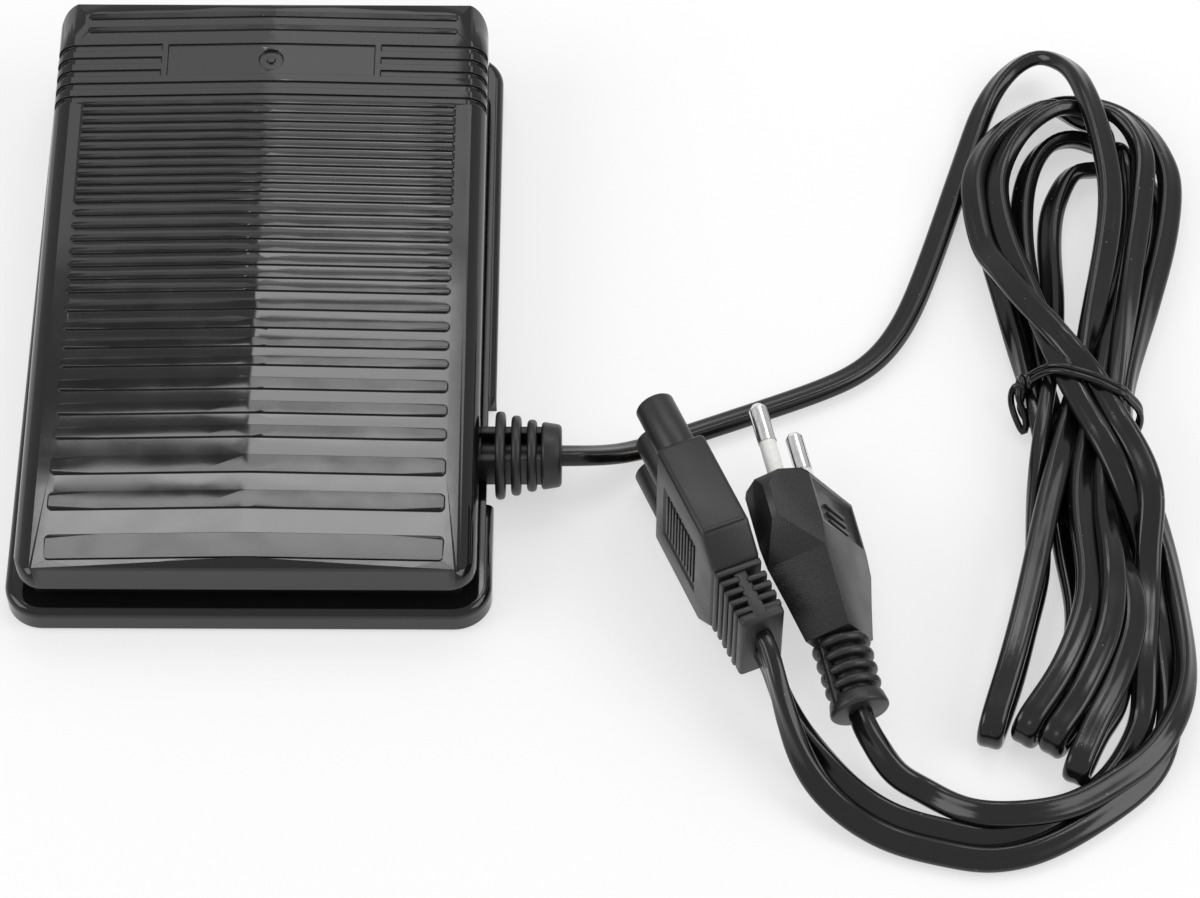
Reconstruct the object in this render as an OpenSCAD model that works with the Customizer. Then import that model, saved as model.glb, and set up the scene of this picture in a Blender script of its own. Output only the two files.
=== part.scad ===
// Electronic foot pedal for a sewing machine, with its leads, machine connector and mains plug.
// Millimetres. +X is the cord side, +Y points away from the user, Z = 0 is the surface it stands on.

/* [Base] */
// Width of the base over its rim
base_w = 102; // [92:1:116]
// Length of the base over its rim
base_l = 151; // [136:1:170]
// Corner radius of the base in plan
base_corner_r = 8; // [7:0.5:11]
// Height of the rim's top above the surface
rim_h = 6.5; // [6:0.1:7]
// Radius of the rim's rounded upper edge
rim_r = 1.8; // [1:0.1:2.2]
// Thickness of the tray's floor
floor_t = 2; // [1.6:0.1:2.4]
// Gap under the tray, which the feet stand out by
foot_gap = 0.8; // [0.5:0.1:1.2]
// Width of the ledge between the rim's edge and the treadle
ledge_w = 3; // [2.5:0.1:4]
// Thickness of the tray's inner wall
wall_t = 1.8; // [1.5:0.1:2.2]
// Height of the inner wall's top above the surface
wall_h = 15.4; // [15:0.1:15.7]

/* [Treadle] */
// Height of the treadle's top at its near end
near_h = 20.6; // [20.2:0.1:23]
// Height of the treadle's top at its far end
far_h = 28.6; // [27:0.1:31]
// Height of the treadle's lower edge at its near end
near_lip_h = 11.5; // [10.5:0.1:12.5]
// Height of the treadle's lower edge at its far end
far_lip_h = 15; // [14.9:0.1:15.3]
// Thickness of the treadle's skirt
skirt_t = 2; // [1.6:0.1:2.4]
// Thickness of the treadle's top
top_t = 2.4; // [2:0.1:2.8]
// Rise of the top's crown over the sides
crown_h = 1.3; // [0.6:0.1:1.6]
// Corner radius of the treadle in plan
cover_corner_r = 6; // [5:0.5:8]
// Radius of the treadle's long edges
side_edge_r = 4.5; // [3.5:0.1:5]
// Radius of the treadle's near and far edges
end_edge_r = 2.4; // [2:0.1:3.2]
// Play between the skirt and the inner wall
skirt_gap = 0.8; // [0.6:0.1:1]

/* [Tread pattern] */
// Length of the raised bars across the treadle
rib_l = 82.4; // [70:0.1:84]
// Height of the raised bars
rib_h = 0.4; // [0.3:0.05:0.7]
// Distance from the far end to the near edge of the first thin bar
rib_start = 28.6; // [28.5:0.1:29.5]
// Distance from the far end to the first groove
groove_start = 11.7; // [11.2:0.1:11.7]
// Pitch of the grooves that run over the long edges
groove_pitch = 3.48; // [3.2:0.02:3.48]
// Width of each groove
groove_w = 1.7; // [1.3:0.1:1.7]
// Depth of the grooves and of the bare label panel
groove_d = 0.5; // [0.3:0.1:0.8]
// Width of the bare label panel
panel_w = 46; // [36:1:50]
// Length of the bare label panel
panel_l = 8.3; // [7.5:0.1:9]

/* [Hinge] */
// Radius of the hinge pin
pin_r = 1.5; // [1.2:0.1:1.8]
// Distance from the base's near end to the hinge axis
hinge_in = 13.5; // [13:0.1:15]
// Height of the hinge axis
hinge_h = 13.2; // [12.8:0.1:13.6]
// Angle that the treadle is pressed through
press_deg = 3.2; // [2.6:0.1:3.2]
// Width of each hinge ear
ear_t = 3.5; // [3:0.1:4]

/* [Speed control] */
// Distance from the tray's inner wall to the plunger
plunger_in = 9.4; // [8.9:0.1:9.9]
// Distance from the hinge axis to the plunger
plunger_reach = 74; // [70:1:78]
// Radius of the plunger's stem
plunger_r = 3; // [2.5:0.1:3.2]
// Wire radius of the return springs
spring_wire_r = 0.5; // [0.4:0.05:0.6]
// Radius of the return springs at the middle of the wire
spring_r = 3.4; // [3.2:0.1:3.8]

/* [Circuit board] */
// Width of the tray that the board leaves for the guard's posts and the plunger's housing
board_side = 24.8; // [24.8:0.2:28.8]
// Distance from the base's near end to the board
board_near = 45.5; // [45:0.5:47]
// Distance from the base's far end to the board
board_far = 33.5; // [32:0.5:36]
// Thickness of the board
board_t = 1.6; // [1:0.1:1.8]
// Height of the posts under the board
post_h = 1.6; // [1.4:0.1:1.8]
// Thickness of the insulating guard over the board
guard_t = 1.2; // [1:0.1:1.4]

/* [Cords] */
// Width of the flat twin cord
cord_w = 5.4; // [5:0.1:5.8]
// Thickness of the flat twin cord
cord_t = 3.4; // [3:0.1:3.6]
// Height of the strain relief's axis
relief_h = 9.6; // [9.5:0.1:9.8]
// Distance from the base's near end to the strain relief's axis
relief_in = 38; // [36:0.5:39]
// Radius of the strain relief's largest disc
relief_r = 9.4; // [9:0.1:9.4]

/* [Machine connector] */
// Height of the connector standing on its edge
conn_h = 33.4; // [32:0.2:36]
// Thickness of the connector
conn_t = 10.6; // [10:0.1:12]
// Length of the connector's body behind its barrels
conn_l = 29; // [27:0.5:32]
// Radius of each barrel
barrel_r = 4.2; // [4:0.1:4.4]
// Length of each barrel
barrel_l = 13; // [11:0.5:15]
// Distance between neighbouring barrels
barrel_pitch = 12; // [11:0.1:12.2]
// Bore radius of the sockets in the barrels
socket_r = 2; // [1.6:0.1:2.2]

/* [Mains plug] */
// Width of the plug's body
plug_w = 36; // [34:0.2:37]
// Thickness of the plug's body
plug_t = 14.8; // [13:0.2:15]
// Radius of the bare plug pins
prong_r = 2; // [1.9:0.1:2.1]
// Distance between the plug pins
prong_pitch = 18.6; // [17.5:0.1:19.2]
// Length of the plug pins
prong_l = 19; // [18:0.5:20]

/* [Hidden] */
$fn = 64;

// Clearances: a running fit, a seat that is pushed together, and room between moving pieces
running_gap = 0.05;
seat_gap = 0.05;
move_gap = 0.3;
cut = 0.1;

// Places that follow from the base
floor_z = foot_gap + floor_t;
near_y = -base_l / 2;
far_y = base_l / 2;
cover_w = base_w - 2 * ledge_w;
cover_l = base_l - 2 * ledge_w;
wall_in = ledge_w + skirt_t + skirt_gap;
wall_x = base_w / 2 - wall_in;
wall_y = base_l / 2 - wall_in;
room_x = wall_x - wall_t;
room_y = wall_y - wall_t;
hinge_y = near_y + hinge_in;
relief_y = near_y + relief_in;

// Rubber feet, pushed through the tray's floor
foot_at = [base_w / 2 - 21, base_l / 2 - 11.5];
foot_r = 5;
foot_seat = 0.8;
foot_stem_r = 2;
foot_barb_r = 2.6;

// The treadle's sloping, crowned top
slope = atan((far_h - near_h) / cover_l);
mid_h = (near_h + far_h) / 2;
crown_half = cover_w / 2 - side_edge_r;
crown_r = (crown_half * crown_half + crown_h * crown_h) / (2 * crown_h);
function top_z(y) = mid_h + y * tan(slope);
function lip_z(y) = near_lip_h + (y + cover_l / 2) * (far_lip_h - near_lip_h) / cover_l;
function crown_sag(x) = crown_r - sqrt(crown_r * crown_r - x * x);
function under_z(x, y) = top_z(y) - crown_sag(x) - top_t;
function press_drop(y) = (y - hinge_y) * sin(press_deg);

// Bars of the tread: groups of a count and a pitch, from the far end to the near end
rib_groups = [[12, 2.34], [7, 3.33], [4, 4.68], [3, 5.9], [2, 8.55], [1, 11.7]];
rib_pitches = [for (g = rib_groups) for (k = [1 : g[0]]) g[1]];
rib_share = 0.49;
rib_end_r = 1;
far_rib_in = [4.8, 8.4];
far_rib_w = 1.4;
cover_far = cover_l / 2;
groove_count = 5;
short_grooves = 3;
groove_reach = 6;
panel_gap = 1.4;
panel_y = cover_far - groove_start - groove_pitch - groove_w / 2;
dimple_r = 2.7;
nub_r = 0.9;
function total(v, n) = n < 0 ? 0 : v[n] + total(v, n - 1);
function rib_near(k) = cover_far - rib_start - (total(rib_pitches, k) - rib_pitches[0]);

// Hinge
boss_r = 4;
ear_x = room_x - 9.4;
boss_in = ear_x + ear_t + 0.5;
clip_t = 0.8;

// Return springs, bump stops and stop hooks at the far end
spring_at = [room_x - 10.4, far_y - 19.5];
spring_post_h = 4.6;
spring_peg_l = 4;
spring_peg_r = spring_r - spring_wire_r - 0.5;
bump_at = [room_x - 19.4, far_y - 15.5];
bump_r = 4;
bump_h = 2.5;
bump_pin_r = 1.4;
bump_seat_z = under_z(bump_at[0], bump_at[1]) - press_drop(bump_at[1]) - move_gap - bump_h;
hook_x = 13;
hook_w = 7;
hook_t = 1.6;
barb_t = 1.5;
barb_z = floor_z + press_drop(room_y) + 0.6;
window_top = barb_z + barb_t + move_gap;

// Speed control: a sprung plunger in a housing that holds the resistor strip
plunger_x = room_x - plunger_in;
plunger_y = hinge_y + plunger_reach;
house_x = 15;
house_y = 18;
house_top = 13.4;
house_lid_t = 1.7;
house_flange_t = 2;
cavity_h = house_top - house_lid_t - floor_z;
house_cavity_r = 5.2;
collar_r = 4.7;
collar_t = 1.2;
collar_top = house_top - house_lid_t - move_gap;
plunger_top = 17.6;
strip_t = 0.6;
strip_w = 4;
strip_y = house_y / 2 - 1.4 - strip_t - seat_gap;
wiper_in = spring_r + spring_wire_r + 0.15;

// Circuit board and guard: the guard's posts stand clear of the plunger's housing
board_w = 2 * room_x - board_side;
board_l = base_l - board_near - board_far;
board_across = board_w / 62;
board_along = board_l / 72;
board_z = floor_z + post_h;
board_top = board_z + board_t;
board_hole = [board_w / 2 - 4, board_l / 2 - 4];
guard_z = board_top + 7.2;
guard_post_x = board_w / 2 + 3.3;
guard_w = 2 * guard_post_x + 5;
board_at = [guard_w / 2 + 0.6 - room_x, near_y + board_near + board_l / 2];
guard_far = max(board_at[1] + 26 * board_along, plunger_y + 20);
guard_near = min(board_at[1] - 26 * board_along, plunger_y - 32);
guard_l = guard_far - guard_near + 9;
guard_post_r = 2.4;
guard_screw_l = 5;
screw_r = 1.2;
head_r = 2.2;
head_t = 1.1;

// Places of the parts on the board, from the board's centre
sink_at = [-14 * board_across, 15 * board_along];
sink_size = [22 * board_across, 26 * board_along, 1.8];
vent_pitch = sink_size[1] / 6.5;
triac_size = [10, 9.2, 4.4];
capacitor_at = [-16 * board_across, -14 * board_along];
capacitor_size = [18, 8.4, 6.4];
choke_at = [14 * board_across, 12 * board_along];
choke_r = 8;
choke_hole_r = 4.4;
choke_h = 4.4;
wire_r = 0.4;
terminal_x = 18.5 * board_across;
resistor_at = [terminal_x - 12.5, -9 * board_along];
resistor_pitch = 5;

// Strain relief, clamp and inner leads
neck_r = 4.4;
relief_start = base_w / 2 + 0.3;
disc_pitch = 3.35;
disc_t = 2.1;
disc_step = 0.85;
collar_l = 4.3;
relief_end = relief_start + 3 * disc_pitch + collar_l - 0.3;
relief_flange_t = 1.8;
notch_near = 10.4;
notch_far = 17.5;
notch_in = 1.6;
clamp_x = room_x - 11.9;
clamp_w = 7;
clamp_t = 2.4;
clamp_seat_z = relief_h - cord_t / 2 - 0.1;
clamp_screw_y = cord_w / 2 + 4.3;
clamp_l = 2 * clamp_screw_y + 6;
terminal_at = [board_at[0] + terminal_x, board_at[1] - board_l / 2 + 8];
terminal_half = 2.6;
terminal_size = [11.4, 8, 6.6];

// Machine connector, standing on its edge
conn_at = [89.9, -49.6];
conn_turn = 23.5;
conn_foot = 0.2;
conn_mid_z = conn_foot + conn_h / 2;
conn_relief_h = 21.5;
conn_relief_l = 13.5;
conn_exit = conn_l + conn_relief_l;
slat_t = 1.5;
slat_count = 5;
socket_wall = 0.6;
socket_depth = 11;

// Mains plug, leaning on its edge with its nose up
plug_at = [114.8, -53.2, 17.5];
plug_turn = 13.7;
plug_pitch = 6;
plug_roll = 61.3;
plug_ridge = 0.8;
plug_l = 34;
plug_relief_l = 16;
plug_exit = plug_l + plug_relief_l;
plug_relief_r = 5.4;
sleeve_r = 1.8;
sleeve_l = 10;
prong_core_r = 1.4;
prong_seat = 6;

// Routes of the leads, chosen point by point
relief_lead = [[relief_end, relief_y, relief_h], [relief_end + 2.5, relief_y, relief_h]];
pedal_route = [
    [71.5, -37, 7.8], [77, -34.2, 5.2], [84, -30.4, 3], [95, -25.6, 2], [106, -21.6, 2], [117, -17.5, 2],
    [128, -12, 2], [135, -5.4, 2], [140.5, 4, 2], [145, 15.4, 2], [149, 27.4, 2], [153, 40, 2],
    [157, 52.6, 2.2], [160, 61, 3.2], [163.6, 67.6, 4.8], [168.4, 72.4, 6.6], [173.4, 73.8, 8.2],
    [178, 70.4, 9.8], [181.4, 63, 11.4], [184.6, 50, 13.2]
];
connector_route = [
    [109.6, -97, 17], [112.4, -106, 12.6], [116.6, -114.2, 8.2], [123.4, -121.4, 4.6], [133, -127, 2.6],
    [144, -130, 2], [155, -130.4, 2], [166, -127.4, 2], [177, -120.6, 2], [186.4, -110.6, 2], [193, -98, 2],
    [196, -84, 2.2], [196.4, -69.6, 3], [194, -55.4, 4.6], [189.4, -43, 6.6], [183, -33, 8.6]
];
mains_start_route = [
    [110.4, -97, 12.4], [113.8, -103.6, 9.2], [119, -109.8, 6], [125.6, -116.4, 3.4], [134, -121.4, 2.2],
    [144, -124.2, 2], [154.4, -124.5, 2], [164.4, -121.8, 2], [174, -115.6, 2], [182, -106.8, 2],
    [187.6, -95.6, 2], [190.2, -83, 2], [190.6, -70, 2.4], [188.8, -57.4, 4], [185, -46, 6], [180, -37, 7.4]
];
mains_end_route = [
    [129.8, -108.4, 9.8], [134, -112.6, 6.2], [140, -116, 3.2], [147, -118.4, 2.2], [154, -118.6, 2.2],
    [161, -116.6, 2.4], [167.5, -112.6, 3.4], [172.5, -106.6, 5], [175.5, -100, 6]
];

// Hank: the two lobes of the tied turns and the waist under the tie
hank_top_lobe = [[179, 36, 23.5], [176, 0, 13]];
hank_low_lobe = [[175, -39, 12.5], [168, -101, 11], [158, -99, 8]];
hank_h = 16;
hank_lift = 0.3;
waist = [26, 22, 10.6];
waist_at = [176, -20];
waist_z = 2.6;
tie_t = 1.5;
tie_w = 3;

// A rectangle with round corners, from squares and circles
module rounded_rect(w, l, r) {
    square([w - 2 * r, l], center = true);
    square([w, l - 2 * r], center = true);
    for (sx = [-1, 1])
        for (sy = [-1, 1])
            translate([sx * (w / 2 - r), sy * (l / 2 - r)])
                circle(r);
}

// Both of a pair that lies at +x and -x
module pair(x) {
    for (s = [-1, 1])
        translate([s * x, 0, 0])
            children();
}

// A pan-head screw standing on z = 0, with its shank below
module screw(shank) {
    difference() {
        cylinder(r = head_r, h = head_t);
        translate([-head_r, -0.3, head_t - 0.5])
            cube([2 * head_r, 0.6, 1]);
    }
    translate([0, 0, -shank])
        cylinder(r = screw_r, h = shank);
}

// Tubes: rings of a flat oval section along a route
function unit(v) = v / norm(v);
function heading(p, i) = unit(p[min(i + 1, len(p) - 1)] - p[max(i - 1, 0)]);
function ring(p, i, w, t, sides) =
    let (d = heading(p, i), s = unit(cross(d, [0, 0, 1])), u = cross(s, d))
    [for (k = [0 : sides - 1])
        let (a = 360 * (k + 0.5) / sides)
        p[i] + s * w / 2 * cos(a) + u * t / 2 * sin(a)];

module tube(p, w, t, sides = 8) {
    last = (len(p) - 1) * sides;
    polyhedron(
        points = [for (i = [0 : len(p) - 1]) each ring(p, i, w, t, sides)],
        faces = concat(
            [[for (k = [sides - 1 : -1 : 0]) k]],
            [for (i = [0 : len(p) - 2]) for (k = [0 : sides - 1])
                [i * sides + k, i * sides + (k + 1) % sides, (i + 1) * sides + (k + 1) % sides]],
            [for (i = [0 : len(p) - 2]) for (k = [0 : sides - 1])
                [i * sides + k, (i + 1) * sides + (k + 1) % sides, (i + 1) * sides + k]],
            [[for (k = [0 : sides - 1]) last + k]]
        )
    );
}

// A coil spring from z = 0 with flat-lying end turns
module coil(r, wire, h, turns) {
    steps = 12;
    n = turns * steps;
    rise = h - 2 * wire;
    tube([for (i = [0 : n]) let (a = 360 * i / steps)
        [r * cos(a), r * sin(a), wire + rise * (i / n)]], 2 * wire, 2 * wire, 6);
}

// Cross section of the treadle under its crown, lowered by drop
module cross_section(w, drop, r) {
    deep = 30;
    sag = crown_sag(w / 2 - r) + drop;
    intersection() {
        translate([0, -crown_r - drop])
            circle(crown_r, $fn = 720);
        union() {
            translate([-w / 2, -deep])
                square([w, deep - sag - r]);
            translate([r - w / 2, -deep])
                square([w - 2 * r, deep + rib_h + 1]);
            for (s = [-1, 1])
                translate([s * (w / 2 - r), -sag - r])
                    circle(r);
        }
    }
}

module under_crown(w, drop, r) {
    translate([0, 0, mid_h])
        rotate([slope, 0, 0])
            rotate([90, 0, 0])
                linear_extrude(cover_l + 20, center = true)
                    cross_section(w, drop, r);
}

// Side view of the treadle: lower edge, and round edges at both ends
module side_view() {
    half = cover_l / 2;
    r = end_edge_r;
    polygon([
        [-half, lip_z(-half)], [half, lip_z(half)],
        [half, top_z(half - r) - r], [-half, top_z(r - half) - r]
    ]);
    polygon([
        [r - half, lip_z(r - half)], [half - r, lip_z(half - r)],
        [half - r, far_h + 2], [r - half, far_h + 2]
    ]);
    for (s = [-1, 1])
        translate([s * (half - r), top_z(s * (half - r)) - r])
            circle(r);
}

module treadle_skin() {
    intersection() {
        linear_extrude(far_h + 4)
            rounded_rect(cover_w, cover_l, cover_corner_r);
        under_crown(cover_w, 0, side_edge_r);
        rotate([90, 0, 90])
            linear_extrude(cover_w + 2, center = true)
                side_view();
    }
}

module treadle_hollow() {
    inner_r = max(side_edge_r - skirt_t, 0.6);
    intersection() {
        linear_extrude(far_h + 4)
            rounded_rect(cover_w - 2 * skirt_t, cover_l - 2 * skirt_t, max(cover_corner_r - skirt_t, 1));
        under_crown(cover_w - 2 * skirt_t, top_t, inner_r);
    }
}

// Raised bars across the top
module tread_bars() {
    intersection() {
        translate([0, 0, near_h - 3])
            linear_extrude(far_h) {
                for (k = [0 : len(rib_pitches) - 1]) {
                    w = rib_share * rib_pitches[k];
                    translate([0, rib_near(k) + w / 2])
                        rounded_rect(rib_l, w, min(w / 2 - 0.02, rib_end_r));
                }
                for (d = far_rib_in)
                    translate([0, cover_far - d + far_rib_w / 2])
                        rounded_rect(rib_l, far_rib_w, far_rib_w / 2 - 0.02);
            }
        under_crown(cover_w, -rib_h, side_edge_r);
        translate([-base_w / 2, -base_l / 2, 0])
            difference() {
                cube([base_w, base_l, 2 * far_h]);
                translate([base_w / 2, base_l / 2, 0])
                    under_crown(cover_w, top_t / 2, side_edge_r);
            }
    }
}

// Grooves that run over the long edges, and the bare panel that interrupts the first of them
module tread_cuts() {
    difference() {
        union() {
            for (k = [0 : groove_count - 1]) {
                y = cover_far - groove_start - k * groove_pitch;
                inner = k < short_grooves ? panel_w / 2 + panel_gap : 0;
                pair((cover_w / 2 + inner) / 2 + 1)
                    translate([0, y - groove_w / 2, top_z(y) - groove_reach + far_h / 2])
                        cube([cover_w / 2 - inner + 2.1, groove_w, far_h], center = true);
            }
            translate([0, panel_y, far_h])
                cube([panel_w, panel_l, far_h], center = true);
        }
        under_crown(cover_w - 2 * groove_d, groove_d, side_edge_r);
    }
    translate([0, panel_y, top_z(panel_y) - 2 * groove_d])
        cylinder(r = dimple_r, h = far_h);
}

// Hinge ears, spring pegs, plunger boss and stop hooks under the treadle
module treadle_fittings() {
    intersection() {
        union() {
            pair(ear_x + ear_t / 2)
                translate([0, hinge_y, 0]) {
                    translate([0, 0, hinge_h])
                        rotate([0, 90, 0])
                            cylinder(r = boss_r, h = ear_t, center = true);
                    translate([-ear_t / 2, -boss_r, hinge_h])
                        cube([ear_t, 2 * boss_r, far_h]);
                }
            pair(spring_at[0])
                translate([0, spring_at[1], under_z(spring_at[0], spring_at[1]) - spring_peg_l])
                    cylinder(r = spring_peg_r, h = far_h);
            translate([plunger_x, plunger_y, plunger_top + move_gap])
                cylinder(r = plunger_r, h = far_h);
            pair(hook_x) {
                translate([-hook_w / 2, room_y - move_gap - 0.5 - hook_t, barb_z])
                    cube([hook_w, hook_t, far_h]);
                translate([-hook_w / 2, room_y - move_gap - 0.5 - hook_t, barb_z])
                    cube([hook_w, hook_t + 0.8 + wall_t, barb_t]);
            }
        }
        under_crown(cover_w, top_t / 2, side_edge_r);
    }
}

module treadle_cover() {
    color("#161617")
        difference() {
            union() {
                difference() {
                    treadle_skin();
                    treadle_hollow();
                    tread_cuts();
                }
                tread_bars();
                treadle_fittings();
                translate([0, panel_y, top_z(panel_y) - top_t / 2])
                    cylinder(r = nub_r, h = top_t / 2 - groove_d);
            }
            translate([0, hinge_y, hinge_h])
                rotate([0, 90, 0])
                    cylinder(r = pin_r + running_gap, h = base_w, center = true);
            translate([cover_w / 2 - skirt_t - 1, relief_y - neck_r - 1, 0])
                cube([skirt_t + 2, 2 * neck_r + 2, relief_h + neck_r + 2]);
        }
}

// Rim: a slab with a round upper edge, from a lower slab, an upper slab and the rounding between
module rim_slab() {
    translate([0, 0, foot_gap])
        linear_extrude(rim_h - rim_r - foot_gap)
            rounded_rect(base_w, base_l, base_corner_r);
    translate([0, 0, foot_gap])
        linear_extrude(rim_h - foot_gap)
            rounded_rect(base_w - 2 * rim_r, base_l - 2 * rim_r, base_corner_r - rim_r);
    translate([0, 0, rim_h - rim_r]) {
        pair(base_w / 2 - rim_r)
            rotate([90, 0, 0])
                cylinder(r = rim_r, h = base_l - 2 * base_corner_r, center = true);
        for (s = [-1, 1])
            translate([0, s * (base_l / 2 - rim_r), 0])
                rotate([0, 90, 0])
                    cylinder(r = rim_r, h = base_w - 2 * base_corner_r, center = true);
        for (sx = [-1, 1])
            for (sy = [-1, 1])
                translate([sx * (base_w / 2 - base_corner_r), sy * (base_l / 2 - base_corner_r), 0])
                    rotate_extrude()
                        translate([base_corner_r - rim_r, 0])
                            intersection() {
                                circle(rim_r);
                                translate([0, -rim_r])
                                    square([rim_r, 2 * rim_r]);
                            }
    }
}

module at_board_holes() {
    for (sx = [-1, 1])
        for (sy = [-1, 1])
            translate([board_at[0] + sx * board_hole[0], board_at[1] + sy * board_hole[1], 0])
                children();
}

module at_guard_posts() {
    for (s = [-1, 1])
        for (y = [guard_near, guard_far])
            translate([board_at[0] + s * guard_post_x, y, 0])
                children();
}

module at_feet() {
    for (sx = [-1, 1])
        for (sy = [-1, 1])
            translate([sx * foot_at[0], sy * foot_at[1], 0])
                children();
}

module at_clamp_screws() {
    for (s = [-1, 1])
        translate([clamp_x, relief_y + s * clamp_screw_y, 0])
            children();
}

module at_housing_screws() {
    for (s = [-1, 1])
        translate([plunger_x, plunger_y + s * (house_y / 2 + 2.2), 0])
            children();
}

// Posts, bosses and hinge blocks that stand on the tray's floor
module tray_fittings() {
    at_board_holes()
        translate([0, 0, foot_gap])
            cylinder(r = 3, h = floor_t + post_h);
    at_guard_posts()
        translate([0, 0, foot_gap])
            cylinder(r = guard_post_r, h = guard_z - foot_gap);
    pair(spring_at[0])
        translate([0, spring_at[1], foot_gap])
            cylinder(r = spring_peg_r, h = floor_t + spring_post_h);
    pair(bump_at[0])
        translate([0, bump_at[1], foot_gap]) {
            cylinder(r = bump_r - 0.4, h = bump_seat_z - foot_gap);
            cylinder(r = bump_pin_r, h = bump_seat_z + bump_h - 0.8 - foot_gap);
        }
    for (s = [-1, 1])
        translate([s * (boss_in + room_x + 0.5) / 2, hinge_y, 0]) {
            translate([0, 0, hinge_h])
                rotate([0, 90, 0])
                    cylinder(r = boss_r, h = room_x + 0.5 - boss_in, center = true);
            translate([-(room_x + 0.5 - boss_in) / 2, -boss_r, foot_gap])
                cube([room_x + 0.5 - boss_in, 2 * boss_r, hinge_h - foot_gap]);
        }
    at_clamp_screws()
        translate([0, 0, foot_gap])
            cylinder(r = 3, h = clamp_seat_z + cord_t - foot_gap);
    translate([clamp_x - clamp_w / 2, relief_y - clamp_screw_y, foot_gap])
        cube([clamp_w, 2 * clamp_screw_y, clamp_seat_z - foot_gap]);
}

module base_tray() {
    color("#131314")
        difference() {
            union() {
                difference() {
                    union() {
                        rim_slab();
                        translate([0, 0, foot_gap])
                            linear_extrude(wall_h - foot_gap)
                                rounded_rect(2 * wall_x, 2 * wall_y, max(base_corner_r - wall_in, 1.5));
                    }
                    translate([0, 0, floor_z])
                        linear_extrude(wall_h)
                            rounded_rect(2 * room_x, 2 * room_y, 1.2);
                }
                tray_fittings();
            }
            translate([0, hinge_y, hinge_h])
                rotate([0, 90, 0])
                    cylinder(r = pin_r + seat_gap, h = base_w, center = true);
            // Window that each stop hook's barb moves in
            pair(hook_x)
                translate([-hook_w / 2 - 1, room_y - 1, floor_z])
                    cube([hook_w + 2, wall_t + 2, window_top - floor_z]);
            // Notch through the rim, and the slot in the wall that the strain relief drops into
            translate([base_w / 2 - notch_in, relief_y - notch_near, 0])
                cube([notch_in + 1, notch_near + notch_far, rim_h + 1]);
            translate([room_x - 1, relief_y, relief_h])
                rotate([0, 90, 0])
                    cylinder(r = neck_r + seat_gap, h = base_w);
            translate([room_x - 1, relief_y - neck_r - seat_gap, relief_h])
                cube([base_w / 2, 2 * (neck_r + seat_gap), wall_h]);
            at_board_holes()
                translate([0, 0, floor_z - 1])
                    cylinder(r = screw_r + seat_gap, h = post_h + 2);
            at_guard_posts()
                translate([0, 0, guard_z - guard_screw_l - 1])
                    cylinder(r = screw_r + seat_gap, h = guard_screw_l + 2);
            at_clamp_screws()
                translate([0, 0, floor_z + 1])
                    cylinder(r = screw_r + seat_gap, h = wall_h);
            at_housing_screws()
                translate([0, 0, foot_gap + 0.6])
                    cylinder(r = screw_r + seat_gap, h = floor_t);
            at_feet() {
                cylinder(r = foot_r + seat_gap, h = foot_gap + foot_seat);
                cylinder(r = foot_stem_r + seat_gap, h = floor_z + 1);
            }
        }
}

module rubber_feet() {
    color("#2b2b2d")
        at_feet() {
            cylinder(r = foot_r, h = foot_gap + foot_seat - seat_gap);
            cylinder(r = foot_stem_r, h = floor_z + 0.2);
            translate([0, 0, floor_z + seat_gap])
                cylinder(r1 = foot_barb_r, r2 = foot_stem_r, h = 1);
        }
}

module hinge_pin() {
    color("#c9ccd0")
        translate([0, hinge_y, hinge_h])
            rotate([0, 90, 0])
                cylinder(r = pin_r, h = 2 * wall_x, center = true);
}

module pin_clips() {
    color("#8f9398")
        pair(ear_x - 0.4 - clip_t / 2)
            translate([0, hinge_y, hinge_h])
                rotate([0, 90, 0])
                    difference() {
                        cylinder(r = pin_r + 1.2, h = clip_t, center = true);
                        cylinder(r = pin_r + seat_gap, h = 2 * clip_t, center = true);
                        translate([-pin_r * 0.7, 0, -clip_t])
                            cube([pin_r * 1.4, 2 * pin_r + 2, 2 * clip_t]);
                    }
}

module return_springs() {
    color("#a7abb0")
        pair(spring_at[0])
            translate([0, spring_at[1], floor_z + move_gap])
                coil(spring_r, spring_wire_r,
                     under_z(spring_at[0] + spring_r, spring_at[1] - spring_r) - floor_z - 2 * move_gap, 6);
}

module bump_stops() {
    color("#3a3a3c")
        pair(bump_at[0])
            translate([0, bump_at[1], bump_seat_z + seat_gap])
                difference() {
                    cylinder(r = bump_r, h = bump_h - seat_gap);
                    translate([0, 0, -cut])
                        cylinder(r = bump_pin_r + seat_gap, h = bump_h - 0.6);
                }
}

module circuit_board() {
    color("#8a6a3a")
        difference() {
            translate([board_at[0], board_at[1], board_z])
                linear_extrude(board_t)
                    rounded_rect(board_w, board_l, 1.5);
            at_board_holes()
                cylinder(r = screw_r + move_gap, h = far_h);
        }
}

module board_screws() {
    color("#b9bcc0")
        at_board_holes()
            translate([0, 0, board_top + seat_gap])
                screw(board_t + post_h);
}

module on_board(at) {
    translate([board_at[0] + at[0], board_at[1] + at[1], board_top + seat_gap])
        children();
}

module heat_sink() {
    color("#b4b8bc")
        on_board(sink_at)
            difference() {
                union() {
                    translate([-sink_size[0] / 2, -sink_size[1] / 2, 0])
                        cube(sink_size);
                    for (k = [0 : 3])
                        translate([k * (sink_size[0] - sink_size[2]) / 3 - sink_size[0] / 2, 7, 0])
                            cube([sink_size[2], sink_size[1] / 2 - 7, 6]);
                }
                translate([0, 1.6, -cut])
                    cylinder(r = screw_r + seat_gap, h = 10);
            }
}

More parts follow.
